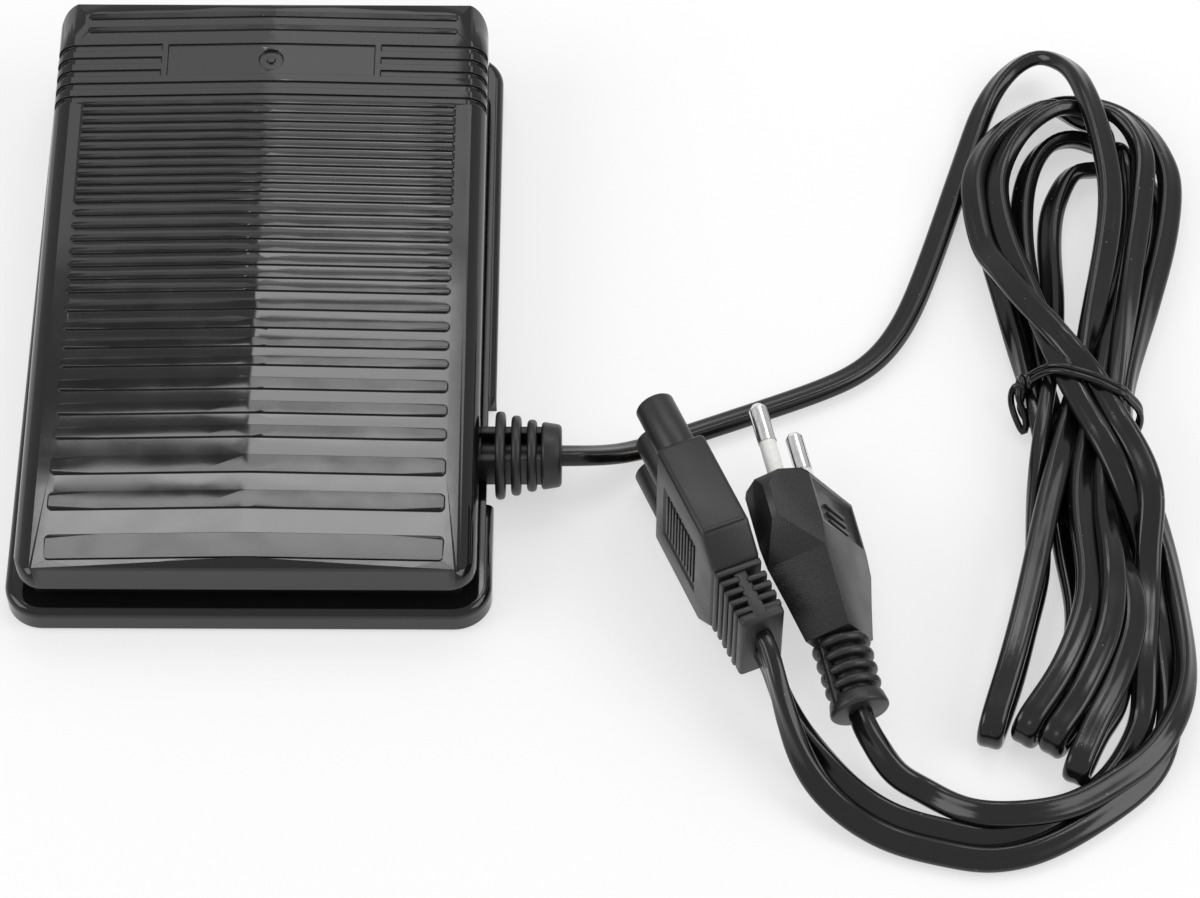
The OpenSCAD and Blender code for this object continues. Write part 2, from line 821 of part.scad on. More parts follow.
module triac() {
    color("#1d1d20")
        on_board(sink_at)
            translate([0, 0, sink_size[2] + seat_gap]) {
                translate([-triac_size[0] / 2, -triac_size[1] - 2, 0])
                    cube(triac_size);
                difference() {
                    translate([-triac_size[0] / 2, -2.4, 0])
                        cube([triac_size[0], 7.4, 1.3]);
                    translate([0, 1.6, -cut])
                        cylinder(r = screw_r + seat_gap, h = 4);
                }
                for (k = [-1 : 1])
                    translate([k * 2.54 - 0.4, -triac_size[1] - 5, 1.6])
                        cube([0.8, 3.4, 0.5]);
            }
}

module triac_screw() {
    color("#b9bcc0")
        on_board(sink_at)
            translate([0, 1.6, sink_size[2] + 1.3 + 2 * seat_gap])
                screw(2.6);
}

module filter_capacitor() {
    color("#c8a63a")
        on_board(capacitor_at)
            translate([0, 0, capacitor_size[2] / 2])
                rotate([90, 0, 0])
                    linear_extrude(capacitor_size[1], center = true)
                        rounded_rect(capacitor_size[0], capacitor_size[2], 1);
}

module choke_core() {
    color("#3b3f45")
        on_board(choke_at)
            translate([0, 0, 2 * wire_r + seat_gap])
                difference() {
                    cylinder(r = choke_r, h = choke_h);
                    translate([0, 0, -cut])
                        cylinder(r = choke_hole_r, h = choke_h + 1);
                }
}

module choke_winding() {
    turn_w = choke_r - choke_hole_r;
    color("#b06a34")
        on_board(choke_at)
            for (k = [0 : 15])
                rotate(k * 360 / 16)
                    translate([(choke_r + choke_hole_r) / 2, 0, 2 * wire_r + seat_gap + choke_h / 2])
                        rotate([90, 0, 0])
                            linear_extrude(2 * wire_r, center = true)
                                difference() {
                                    square([turn_w + 4 * wire_r, choke_h + 4 * wire_r], center = true);
                                    square([turn_w + 2 * seat_gap, choke_h + 2 * seat_gap], center = true);
                                }
}

module axial_part(r, l) {
    translate([0, 0, r + 0.3])
        rotate([0, 90, 0])
            cylinder(r = r, h = l, center = true);
    pair(l / 2 + 1)
        translate([0, 0, r + 0.3])
            rotate([0, 90, 0])
                cylinder(r = 0.3, h = 3, center = true);
    pair(l / 2 + 2.5)
        cylinder(r = 0.3, h = r + 0.6);
}

module resistors() {
    color("#b99a6b")
        for (k = [0 : 3])
            on_board([resistor_at[0], resistor_at[1] - resistor_pitch * k])
                axial_part(1.2, 6.4);
}

module diac() {
    color("#8c3b2a")
        on_board([resistor_at[0] + 14, resistor_at[1] - 2])
            axial_part(0.9, 4);
}

module at_terminals() {
    for (s = [-1, 1])
        translate([terminal_at[0] + s * terminal_half, terminal_at[1], board_top + seat_gap])
            children();
}

module terminal_block() {
    color("#2f6d4a")
        difference() {
            translate([terminal_at[0] - terminal_size[0] / 2, terminal_at[1] - terminal_size[1] / 2,
                       board_top + seat_gap])
                cube(terminal_size);
            at_terminals() {
                translate([0, 0.8, 2])
                    cylinder(r = 1.7, h = terminal_size[2]);
                translate([0, -terminal_size[1] / 2 - cut, 2.6])
                    rotate([-90, 0, 0])
                        cylinder(r = 1.3, h = 3);
            }
        }
}

module terminal_screws() {
    color("#c3c6ca")
        at_terminals()
            translate([0, 0.8, 2.1])
                difference() {
                    cylinder(r = 1.6, h = 3);
                    translate([-2, -0.3, 2.4])
                        cube([4, 0.6, 1]);
                }
}

module guard_cover() {
    color("#d8d6ce")
        difference() {
            translate([board_at[0], (guard_near + guard_far) / 2, guard_z + seat_gap])
                linear_extrude(guard_t)
                    rounded_rect(guard_w, guard_l, 3);
            at_guard_posts()
                cylinder(r = screw_r + move_gap, h = far_h);
            // Cut-out around the plunger's housing
            translate([plunger_x - house_x / 2 - move_gap, plunger_y - house_y / 2 - move_gap, 0])
                cube([house_x + 2 * move_gap, house_y + 2 * move_gap, far_h]);
            // Vent slots over the heat sink
            for (k = [-2 : 2])
                translate([board_at[0] + sink_at[0], board_at[1] + sink_at[1] + k * vent_pitch, guard_z])
                    cube([sink_size[0] - 6, 1.8, 3 * guard_t], center = true);
        }
}

module guard_screws() {
    color("#b9bcc0")
        at_guard_posts()
            translate([0, 0, guard_z + guard_t + 2 * seat_gap])
                screw(guard_t + guard_screw_l);
}

// Housing of the plunger, open below and seated on the tray's floor
module plunger_housing() {
    color("#e1ddd2")
        difference() {
            union() {
                translate([plunger_x - house_x / 2, plunger_y - house_y / 2, floor_z + seat_gap])
                    cube([house_x, house_y, house_top - floor_z - seat_gap]);
                translate([plunger_x - 3, plunger_y - house_y / 2 - 4.6, floor_z + seat_gap])
                    cube([6, house_y + 9.2, house_flange_t]);
            }
            translate([plunger_x, plunger_y, floor_z - 1])
                cylinder(r = house_cavity_r, h = cavity_h + 1);
            translate([plunger_x - strip_w / 2 - seat_gap, plunger_y, floor_z - 1])
                cube([strip_w + 2 * seat_gap, strip_y + strip_t + seat_gap, cavity_h + 1]);
            translate([plunger_x, plunger_y, floor_z])
                cylinder(r = plunger_r + running_gap, h = house_top);
            at_housing_screws()
                translate([0, 0, floor_z - 1])
                    cylinder(r = screw_r + seat_gap, h = 6);
        }
}

module housing_screws() {
    color("#b9bcc0")
        at_housing_screws()
            translate([0, 0, floor_z + house_flange_t + 2 * seat_gap])
                screw(house_flange_t + 0.9);
}

module plunger() {
    color("#efece4")
        translate([plunger_x, plunger_y, 0]) {
            translate([0, 0, collar_top - collar_t])
                cylinder(r = collar_r, h = collar_t);
            translate([0, 0, collar_top - collar_t])
                cylinder(r = plunger_r, h = plunger_top - collar_top + collar_t);
        }
}

module plunger_spring() {
    color("#a7abb0")
        translate([plunger_x, plunger_y, floor_z + move_gap])
            coil(spring_r, spring_wire_r, collar_top - collar_t - floor_z - 2 * move_gap, 5);
}

module wiper_contact() {
    color("#c79a4a")
        translate([plunger_x - strip_w / 4, plunger_y + wiper_in, collar_top - collar_t - 0.4 - seat_gap])
            cube([strip_w / 2, strip_y - wiper_in - 0.2, 0.4]);
}

module resistor_strip() {
    color("#2a2a2c")
        translate([plunger_x - strip_w / 2, plunger_y + strip_y, floor_z + seat_gap])
            cube([strip_w, strip_t, cavity_h - 2 * seat_gap]);
}

// Strain relief: a flange inside the wall, a neck, discs that step down and an end collar
module strain_relief() {
    color("#232325")
        translate([0, relief_y, relief_h])
            rotate([0, 90, 0])
                difference() {
                    union() {
                        translate([0, 0, room_x - seat_gap - relief_flange_t])
                            cylinder(r = neck_r + 1.2, h = relief_flange_t);
                        translate([0, 0, room_x - relief_flange_t])
                            cylinder(r = neck_r, h = relief_start - room_x + relief_flange_t + 1);
                        translate([0, 0, relief_start])
                            cylinder(r = neck_r + 1.6, h = relief_end - relief_start - 1);
                        for (k = [0 : 2])
                            translate([0, 0, relief_start + k * disc_pitch])
                                cylinder(r = relief_r - k * disc_step, h = disc_t);
                        translate([0, 0, relief_end - collar_l])
                            cylinder(r = relief_r - 3 * disc_step + 0.2, h = collar_l);
                    }
                    translate([0, 0, room_x - 4])
                        cylinder(r = cord_w / 2 + seat_gap, h = 6);
                }
}

module cord_tail() {
    color("#1a1a1b")
        tube([[room_x + 1, relief_y, relief_h], [room_x - 3, relief_y, relief_h], [clamp_x, relief_y, relief_h],
              [clamp_x - clamp_w / 2 - 2, relief_y, relief_h]], cord_w, cord_t, 12);
}

module lead_wires() {
    tail = clamp_x - clamp_w / 2 - 2;
    mouth_y = terminal_at[1] - terminal_size[1] / 2 + 2.2;
    for (s = [-1, 1])
        color(s < 0 ? "#7a4a2a" : "#3358a8")
            tube([[tail - seat_gap, relief_y + s * 1.3, relief_h], [tail - 4, relief_y + s * 1.5, relief_h],
                  [terminal_at[0] + 5 + s * 1.8, relief_y + 2 + s * 1.5, relief_h - 0.4],
                  [terminal_at[0] + s * terminal_half, relief_y + 6.5, board_top + 2.7],
                  [terminal_at[0] + s * terminal_half, mouth_y, board_top + 2.65]],
                 1.9, 1.9, 8);
}

module cord_clamp() {
    color("#2c2c2e")
        difference() {
            translate([clamp_x - clamp_w / 2, relief_y - clamp_l / 2, relief_h + cord_t / 2 + 0.1])
                cube([clamp_w, clamp_l, clamp_t]);
            at_clamp_screws()
                cylinder(r = screw_r + move_gap, h = far_h);
        }
}

module clamp_screws() {
    color("#b9bcc0")
        at_clamp_screws()
            translate([0, 0, relief_h + cord_t / 2 + 0.1 + clamp_t + seat_gap])
                screw(clamp_t + 6);
}

// Leads between the strain relief, the hank, the connector and the plug
function conn_point(p) = let (c = cos(conn_turn), s = sin(conn_turn))
    [conn_at[0] + p[0] * c - p[1] * s, conn_at[1] + p[0] * s + p[1] * c, p[2]];
function conn_lead(z) = [for (d = [0, 4]) conn_point([0, -conn_exit - d, conn_mid_z + z])];
function plug_point(d) = let (h = d * cos(plug_pitch))
    [plug_at[0] - h * sin(plug_turn), plug_at[1] + h * cos(plug_turn), plug_at[2] + d * sin(plug_pitch)];

module pedal_cord() {
    color("#18181a")
        tube(concat(relief_lead, pedal_route), cord_w, cord_t);
}

module connector_cord() {
    color("#18181a")
        tube(concat(conn_lead(2), connector_route), cord_w, cord_t);
}

module mains_cord_start() {
    color("#18181a")
        tube(concat(conn_lead(-2), mains_start_route), cord_w, cord_t);
}

module mains_cord_end() {
    color("#18181a")
        tube(concat([plug_point(-plug_exit), plug_point(-plug_exit - 3)], mains_end_route), cord_w, cord_t);
}

module cord_hank() {
    color("#1b1b1d") {
        for (lobe = [hank_top_lobe, hank_low_lobe])
            translate([0, 0, hank_lift])
                linear_extrude(hank_h - hank_lift)
                    hull()
                        for (c = lobe)
                            translate([c[0], c[1]])
                                circle(c[2], $fn = 32);
        translate([waist_at[0] - waist[0] / 2, waist_at[1] - waist[1] / 2, waist_z])
            cube(waist);
    }
}

module hank_tie() {
    inner_w = waist[0] + 2 * move_gap;
    inner_h = waist[2] + 2 * move_gap;
    color("#101012")
        translate([waist_at[0], waist_at[1] + tie_w / 2, waist_z + waist[2] / 2])
            rotate([90, 0, 0])
                linear_extrude(tie_w)
                    difference() {
                        rounded_rect(inner_w + 2 * tie_t, inner_h + 2 * tie_t, 3);
                        square([inner_w, inner_h], center = true);
                    }
}

// Machine connector: a flat body, three barrels seated on its front and a slotted boot behind it
module connector_place() {
    translate([conn_at[0], conn_at[1], 0])
        rotate([0, 0, conn_turn])
            children();
}

module at_barrels() {
    for (k = [-1 : 1])
        translate([0, 0, conn_mid_z + k * barrel_pitch])
            rotate([-90, 0, 0])
                children();
}

module machine_connector() {
    taper = 6;
    half = conn_relief_h / 2;
    color("#2a2a2c")
        connector_place()
            rotate([90, 0, 90])
                linear_extrude(conn_t, center = true)
                    polygon([
                        [0, conn_foot], [taper - conn_l, conn_foot], [-conn_l, conn_mid_z - half],
                        [-conn_l, conn_mid_z + half], [taper - conn_l, conn_foot + conn_h],
                        [0, conn_foot + conn_h]
                    ]);
}

module connector_barrels() {
    color("#2a2a2c")
        connector_place()
            at_barrels()
                difference() {
                    cylinder(r = barrel_r, h = barrel_l);
                    translate([0, 0, barrel_l - socket_depth])
                        cylinder(r = socket_r + socket_wall + seat_gap, h = socket_depth + 1);
                }
}

module connector_boot() {
    slat_pitch = (conn_relief_l - slat_t) / slat_count;
    half = conn_relief_h / 2;
    color("#2a2a2c")
        connector_place() {
            translate([-conn_t / 3, -conn_exit, conn_mid_z - half + 2.5])
                cube([conn_t * 2 / 3, conn_relief_l, conn_relief_h - 5]);
            for (k = [0 : slat_count - 1])
                translate([-conn_t / 2 + 0.3, -conn_exit + k * slat_pitch, conn_mid_z - half])
                    cube([conn_t - 0.6, slat_t, conn_relief_h]);
        }
}

module connector_sockets() {
    color("#c9a24e")
        connector_place()
            at_barrels()
                translate([0, 0, barrel_l - socket_depth + seat_gap])
                    difference() {
                        cylinder(r = socket_r + socket_wall, h = socket_depth - 0.8);
                        translate([0, 0, 0.6])
                            cylinder(r = socket_r, h = socket_depth);
                    }
}

// Mains plug: a chamfered body that narrows to a ringed strain relief, with two sleeved pins
module plug_place() {
    translate(plug_at)
        rotate([0, 0, plug_turn])
            rotate([plug_pitch, 0, 0])
                rotate([0, plug_roll, 0])
                    children();
}

module at_prongs() {
    pair(prong_pitch / 2)
        rotate([-90, 0, 0])
            children();
}

module mains_plug() {
    w = plug_w / 2;
    t = plug_t / 2;
    color("#1f1f21")
        plug_place()
            difference() {
                union() {
                    intersection() {
                        linear_extrude(plug_t, center = true)
                            polygon([
                                [w - 2, 0], [w, -3], [w, -11], [w - 6, -18], [w - 9, -26], [6, -plug_l - 0.5],
                                [-6, -plug_l - 0.5], [9 - w, -26], [6 - w, -18], [-w, -11], [-w, -3], [2 - w, 0]
                            ]);
                        rotate([90, 0, 90])
                            linear_extrude(plug_w, center = true)
                                polygon([
                                    [0, t - 1], [-1, t], [-13, t], [-23, t - 1.2], [-plug_l - 0.5, t - 2.4],
                                    [-plug_l - 0.5, 2.4 - t], [-23, 1.2 - t], [-13, -t], [-1, -t], [0, 1 - t]
                                ]);
                        rotate([90, 0, 0])
                            linear_extrude(3 * plug_l, center = true)
                                polygon([
                                    [w, plug_ridge], [w - t + plug_ridge, t], [t - w - plug_ridge, t],
                                    [-w, plug_ridge], [-w, -plug_ridge], [t - w - plug_ridge, -t],
                                    [w - t + plug_ridge, -t], [w, -plug_ridge]
                                ]);
                    }
                    translate([0, -plug_l, 0])
                        rotate([90, 0, 0]) {
                            cylinder(r = plug_relief_r - 1.6, h = plug_relief_l);
                            for (k = [0 : 3])
                                translate([0, 0, 1.4 + k * 3.4])
                                    cylinder(r = plug_relief_r - 0.3 * k, h = 2);
                            translate([0, 0, plug_relief_l - 2.4])
                                cylinder(r = plug_relief_r - 0.6, h = 2.4);
                        }
                }
                at_prongs()
                    translate([0, 0, -prong_seat])
                        cylinder(r = prong_core_r + seat_gap, h = prong_seat + 1);
            }
}

module plug_pins() {
    color("#d5d8dc")
        plug_place()
            at_prongs() {
                translate([0, 0, seat_gap - prong_seat])
                    cylinder(r = prong_core_r, h = prong_seat + sleeve_l + 1);
                translate([0, 0, sleeve_l])
                    cylinder(r = prong_r, h = prong_l - sleeve_l - prong_r * 0.6);
                translate([0, 0, prong_l - prong_r * 0.6])
                    cylinder(r1 = prong_r, r2 = prong_r * 0.5, h = prong_r * 0.6);
            }
}

module pin_sleeves() {
    color("#e9e9e6")
        plug_place()
            at_prongs()
                translate([0, 0, seat_gap])
                    difference() {
                        cylinder(r = sleeve_r, h = sleeve_l - 2 * seat_gap);
                        translate([0, 0, -cut])
                            cylinder(r = prong_core_r + seat_gap, h = sleeve_l + 1);
                    }
}

base_tray();
rubber_feet();
treadle_cover();
hinge_pin();
pin_clips();
return_springs();
bump_stops();
circuit_board();
board_screws();
heat_sink();
triac();
triac_screw();
filter_capacitor();
choke_core();
choke_winding();
resistors();
diac();
terminal_block();
terminal_screws();
guard_cover();
guard_screws();
plunger_housing();
housing_screws();
plunger();
plunger_spring();
wiper_contact();
resistor_strip();
strain_relief();
cord_tail();
lead_wires();
cord_clamp();
clamp_screws();
pedal_cord();
cord_hank();
hank_tie();
connector_cord();
mains_cord_start();
mains_cord_end();
machine_connector();
connector_barrels();
connector_boot();
connector_sockets();
mains_plug();
plug_pins();
pin_sleeves();
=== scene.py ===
# %% [markdown]
# # A sewing machine foot pedal
# A black plastic pedal with a ribbed treadle, and its lead: a tied hank of flat cord that ends in a
# three-way machine connector and a two-pin mains plug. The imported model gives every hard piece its
# true size and place. This lesson dresses it: the cords come first, because they lie outside the pedal
# and decide how wide the picture is, then the light, the finishes and the pieces with finer shapes.

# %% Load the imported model
import math

import bmesh
import bpy
import numpy as np
from mathutils import Matrix, Vector


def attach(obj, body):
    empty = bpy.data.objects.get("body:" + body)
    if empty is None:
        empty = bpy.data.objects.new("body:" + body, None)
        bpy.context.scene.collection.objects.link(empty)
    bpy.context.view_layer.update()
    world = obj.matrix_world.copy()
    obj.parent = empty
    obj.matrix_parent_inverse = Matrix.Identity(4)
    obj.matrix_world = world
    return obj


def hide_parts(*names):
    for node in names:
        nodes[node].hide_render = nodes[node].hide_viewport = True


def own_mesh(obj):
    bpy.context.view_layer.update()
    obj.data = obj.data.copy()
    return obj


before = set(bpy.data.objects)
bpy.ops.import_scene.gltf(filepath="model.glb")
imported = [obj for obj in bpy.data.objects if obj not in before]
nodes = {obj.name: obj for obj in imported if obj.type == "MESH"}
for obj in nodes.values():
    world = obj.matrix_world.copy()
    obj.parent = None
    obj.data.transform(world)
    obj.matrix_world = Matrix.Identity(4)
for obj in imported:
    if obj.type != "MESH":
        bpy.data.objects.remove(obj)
scene = bpy.context.scene
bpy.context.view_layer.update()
MM = 0.001

# %% [markdown]
# ## Camera
# The pedal is seen from its low end and well from above. A long lens from under a metre away keeps the
# sides of the treadle almost parallel, as they are in a catalogue picture, so the camera is placed by
# numbers rather than pointed by hand.

# %% Camera
camera_data = bpy.data.cameras.new("camera")
camera_data.sensor_width = 36
camera_data.lens = 4027.5 / 1200 * 36
camera_data.clip_start = 0.01
camera = bpy.data.objects.new("camera", camera_data)
camera.location = (0.07556, -0.51517, 0.72042)
camera.rotation_euler = (math.radians(34), 0, math.radians(0.252))
scene.collection.objects.link(camera)
scene.camera = camera
print("lens", round(camera_data.lens, 1), "mm")

# %% [markdown]
# ## How a finish is made
# Every finish here is a Principled shader with its colour, roughness and bump driven by noise on Object
# coordinates. A noise scale counts cells per metre, so a grain of half a millimetre has a scale of
# about two thousand. Small helpers keep each recipe to a few lines.

# %% Helpers for finishes
def new_finish(name):
    finish = bpy.data.materials.new(name)
    finish.use_nodes = True
    tree = finish.node_tree
    place = tree.nodes.new("ShaderNodeTexCoord")
    return finish, tree, tree.nodes["Principled BSDF"], place.outputs["Object"]


def noise(tree, place, scale, detail=3.0, stretch=None):
    node = tree.nodes.new("ShaderNodeTexNoise")
    node.inputs["Scale"].default_value = scale
    node.inputs["Detail"].default_value = detail
    if stretch:
        mapping = tree.nodes.new("ShaderNodeMapping")
        mapping.inputs["Scale"].default_value = stretch
        tree.links.new(place, mapping.inputs["Vector"])
        place = mapping.outputs["Vector"]
    tree.links.new(place, node.inputs["Vector"])
    return node.outputs["Fac"]


def spread(tree, value, low, high, from_low=0.3, from_high=0.7):
    node = tree.nodes.new("ShaderNodeMapRange")
    node.inputs["From Min"].default_value = from_low
    node.inputs["From Max"].default_value = from_high
    node.inputs["To Min"].default_value = low
    node.inputs["To Max"].default_value = high
    tree.links.new(value, node.inputs["Value"])
    return node.outputs["Result"]


def two_tone(tree, factor, dark, light):
    node = tree.nodes.new("ShaderNodeMix")
    node.data_type = "RGBA"
    node.inputs["A"].default_value = (*dark, 1)
    node.inputs["B"].default_value = (*light, 1)
    tree.links.new(factor, node.inputs["Factor"])
    return node.outputs["Result"]


def bump(tree, height, strength, distance, under=None):
    node = tree.nodes.new("ShaderNodeBump")
    node.inputs["Strength"].default_value = strength
    node.inputs["Distance"].default_value = distance
    tree.links.new(height, node.inputs["Height"])
    if under:
        tree.links.new(under, node.inputs["Normal"])
    return node.outputs["Normal"]


def moulded(name, dark, light, rough, grain, depth, wave=0.0, ior=1.5):
    """Moulded plastic: two close colours, uneven gloss, a grain, and slow waves from the mould."""
    finish, tree, shader, place = new_finish(name)
    cloud = noise(tree, place, 90)
    fine = noise(tree, place, grain, 2)
    colour = two_tone(tree, spread(tree, fine, 0, 1), dark, light)
    tree.links.new(colour, shader.inputs["Base Color"])
    tree.links.new(spread(tree, cloud, *rough), shader.inputs["Roughness"])
    normal = bump(tree, fine, 1.0, depth)
    if wave:
        normal = bump(tree, noise(tree, place, 140, 1), 1.0, wave, normal)
    tree.links.new(normal, shader.inputs["Normal"])
    shader.inputs["IOR"].default_value = ior
    return finish


print("helpers ready")

# %% [markdown]
# ## The flat cord: its line
# The lead is a flat two-core cord, 5.4 mm wide and 3.4 mm thick, that lies on its wide side where it is
# free and stands on edge where it is squeezed. A Blender curve could sweep it, but a curve gives little
# say in how a flat section rolls, so each point here holds a place in millimetres and a lean in degrees
# from lying flat. None leaves the lean to follow by itself, as at the folds. Both cords are long, so
# their points are kept in runs with plain names.

# %% First cord: from the pedal through the hank to the connector
pedal_lead = [
    (65.3, -37.5, 9.6, 32), (67.8, -37.4, 9.5, 32), (71.5, -36.6, 8.4, 32), (77, -34.4, 5.8, 31),
    (84, -31, 3.4, 30), (95, -26.2, 2.5, 29), (106, -21.8, 2.5, 28), (117, -17.2, 2.4, 27),
    (128, -11.6, 2.4, 26), (135, -5.2, 2.4, 25), (140.5, 4, 2.3, 22), (145, 15.4, 2.3, 20),
    (149, 27.4, 2.3, 20), (153, 40, 2.3, 22), (157, 52.6, 2.4, 26), (160, 61, 3.4, 34),
    (163.6, 67.6, 4.8, 48), (168.4, 72.2, 6.6, 52), (173.4, 73.4, 8.2, 50), (178, 70.2, 9.9, 45),
    (181.2, 63, 12.9, 35), (184.3, 49.7, 13.9, 22),
]
down_to_the_tie = [
    (186, 37, 13.4, 16), (185.5, 24.2, 12.8, 14), (181.7, 4.4, 11.4, 20), (179.7, -4.3, 10.6, 40),
    (176.5, -17.2, 9.2, 85),
]
first_fold = [
    (173.4, -28.8, 9.3, 30), (170.5, -40.2, 10.5, 8), (167.7, -50.9, 11.4, 4), (164.9, -62.9, 12.4, 2),
    (162.3, -73.6, 12.3, 0), (159.7, -83.3, 11.8, 0), (157.1, -91.9, 10.9, 0), (155, -98.3, 9.9, 0),
    (153.8, -102.2, 9, None), (153.4, -103.7, 7.2, None), (153.5, -103.7, 4.7, None),
    (154, -102.2, 2.9, None), (157.7, -91.9, 2.4, 180), (160.3, -83.3, 2.4, 180), (162.9, -73.6, 2.4, 180),
    (165.5, -62.9, 2.4, 179), (166.3, -51, 5.3, 178),
]
first_upper_loop = [
    (168.9, -25.1, 9.8, 95), (171.7, -8, 7.4, 75), (172.4, 0.9, 6, 60), (172.8, 10.3, 4.6, 45),
    (173, 22, 3.1, 30), (174.2, 32.3, 2.9, 30), (176.5, 39, 2.9, 45), (180.1, 44.2, 3, 60),
    (184.6, 45.1, 2.9, 65), (188.9, 45.5, 2.9, 60), (194.5, 43.2, 2.8, 50), (196.6, 39.3, 2.7, 40),
    (197.1, 31, 2.6, 35), (195.2, 20, 2.7, 40), (191.7, 8.3, 3, 55), (188.3, -2.5, 3.4, 75),
    (183.4, -19.5, 4.5, 85),
]
second_fold = [
    (183.7, -37.1, 4.3, 70), (183.2, -49, 5.6, 55), (182.5, -59.7, 7.1, 40), (184.1, -69.5, 8.9, 30),
    (184, -78.7, 8.8, 20), (181.7, -86.9, 9.2, 12), (178.6, -94.8, 9.7, 6), (175.3, -101.4, 9.5, 0),
    (172.5, -107.3, 8.9, 0), (170.9, -110.9, 8.3, None), (170.4, -112.1, 6.7, None),
    (170.5, -112, 4.6, None), (171.2, -110.7, 2.9, None), (175.7, -101.2, 2.4, 180),
    (179.4, -94.9, 2.2, 176), (181.7, -86.9, 2, 173), (184, -78.5, 2.1, 168), (184.4, -70.1, 2.3, 162),
    (182.6, -59.4, 2.4, 156),
]
second_upper_loop = [
    (179.3, -19.5, 4.6, 95), (182.1, 0.5, 4.3, -70), (183.9, 10.6, 4, -50), (186.1, 23.5, 3.9, -35),
    (187.5, 37.1, 5, -35), (186.7, 46.6, 7.8, -40), (186.3, 52.9, 7, -50), (184.6, 56.2, 4.8, -55),
    (180.5, 58.3, 4.9, -55), (175.6, 59.8, 7.2, -55), (169.7, 57.2, 7.8, -55), (163.9, 53, 7.1, -50),
    (159.4, 47, 6.7, -45), (156.9, 40.3, 6.8, -35), (156.5, 33.2, 6.8, -25), (158.1, 20.4, 6.9, -20),
    (160.6, 13.2, 9.4, -20), (163.4, 6.4, 11.8, -22), (166.9, -0.6, 13.6, -24),
    (171, -7.6, 15, -25), (175.2, -14, 14.9, -25),
]
connector_lead = [
    (179.7, -20.2, 13.4, -25), (183.2, -29.3, 13.9, -22), (187.3, -38.7, 13.5, -18),
    (189.6, -48.9, 12.4, -12), (188.8, -58.5, 8.3, -6), (188.1, -68.4, 5.8, 0), (187, -79, 5.1, 0),
    (186.3, -87.4, 4, 0), (185.4, -96.5, 2.3, 10), (183, -103.1, 2.3, 20), (179.5, -109.2, 2.5, 30),
    (174.8, -114.5, 2.6, 36), (167.8, -119.5, 2.6, 38), (160.1, -123.7, 2.6, 38), (151.5, -125.4, 2.6, 38),
    (143.4, -123.9, 2.6, 34), (134, -120.7, 2.4, 24), (125.6, -115.4, 3.4, 20), (119, -109.2, 5.8, 34),
    (113.8, -103.3, 9.1, 60), (110.4, -96.8, 11.9, 85), (108.4, -92, 13.7, 90), (106.8, -88.5, 14.2, 90),
]
pedal_cord_points = (
    pedal_lead + down_to_the_tie + first_fold + first_upper_loop + second_fold + second_upper_loop + connector_lead
)
print("pedal cord points", len(pedal_cord_points))

# %% Second cord: from the connector through the hank to the plug
outer_lead = [
    (106.9, -88.7, 19.6, -90), (108.2, -92.1, 19.3, -90), (109.6, -97.2, 17.5, -88),
    (112.4, -106, 12.7, -70), (116.6, -114, 8, -42), (123.4, -120.6, 4.4, -24), (133, -125.9, 2.6, -24),
    (143.1, -128.9, 2.6, -34), (151.4, -130.2, 2.6, -38), (160.1, -128.8, 2.6, -38),
    (168.7, -124.7, 2.6, -38), (177.8, -118.4, 2.6, -34), (185.7, -111, 2.4, -26), (189.6, -103.1, 2.4, -24),
    (191.3, -93.4, 2.4, -26), (191.2, -83, 2.4, -24), (190.6, -73.2, 2.1, -10), (188.1, -56.7, 4.2, 0),
    (187.1, -52.9, 6.8, 8), (182.7, -41.6, 12.4, 15), (178.5, -31.6, 13.5, 22), (176.2, -25.8, 13.2, 25),
]
third_upper_loop = [
    (172, -14.1, 13, 25), (169.5, -3.1, 10.1, 28), (166.2, 10.5, 8.2, 28), (163.6, 20.3, 7.2, 26),
    (161.8, 31.7, 7.1, 30), (162.1, 39.1, 7.4, 38), (164.1, 44.8, 8.2, 45), (167.6, 50.1, 9.7, 52),
    (172.4, 54, 11.3, 55), (177.7, 56.5, 11.1, 58), (183.3, 56.6, 9.5, 58), (187.6, 55.8, 10.1, 55),
    (191.1, 52.7, 10.5, 50), (193.7, 48.2, 9.9, 40), (194.7, 43, 9.3, 30), (194.1, 36.2, 8.5, 24),
    (193, 28.5, 8.2, 20), (191.3, 19.6, 8.4, 20), (188.9, 6.5, 9.2, 30), (186.6, -6.3, 10.1, 60),
    (184.4, -18.5, 10.2, 80),
]
third_fold = [
    (181.1, -37, 9.1, 60), (180, -46.2, 9.5, 45), (179.9, -55.4, 11.2, 32), (180.2, -64.8, 12.6, 26),
    (179.8, -73.8, 11.9, 20), (178, -82.4, 11.2, 14), (174.9, -90.1, 10.8, 8), (171.4, -97, 10.1, 4),
    (168.5, -101.3, 9.3, 0), (166.6, -104, 8.6, None), (165.9, -105.2, 6.8, None),
    (166.1, -105.2, 4.5, None), (167, -104, 2.7, None), (171.9, -96.9, 2.3, 178), (175, -89.9, 2.3, 175),
    (177.5, -82, 2.4, 172), (178.9, -73.6, 2.6, 168), (178.3, -65, 3.2, 164), (176.9, -56.8, 3.7, 161),
]
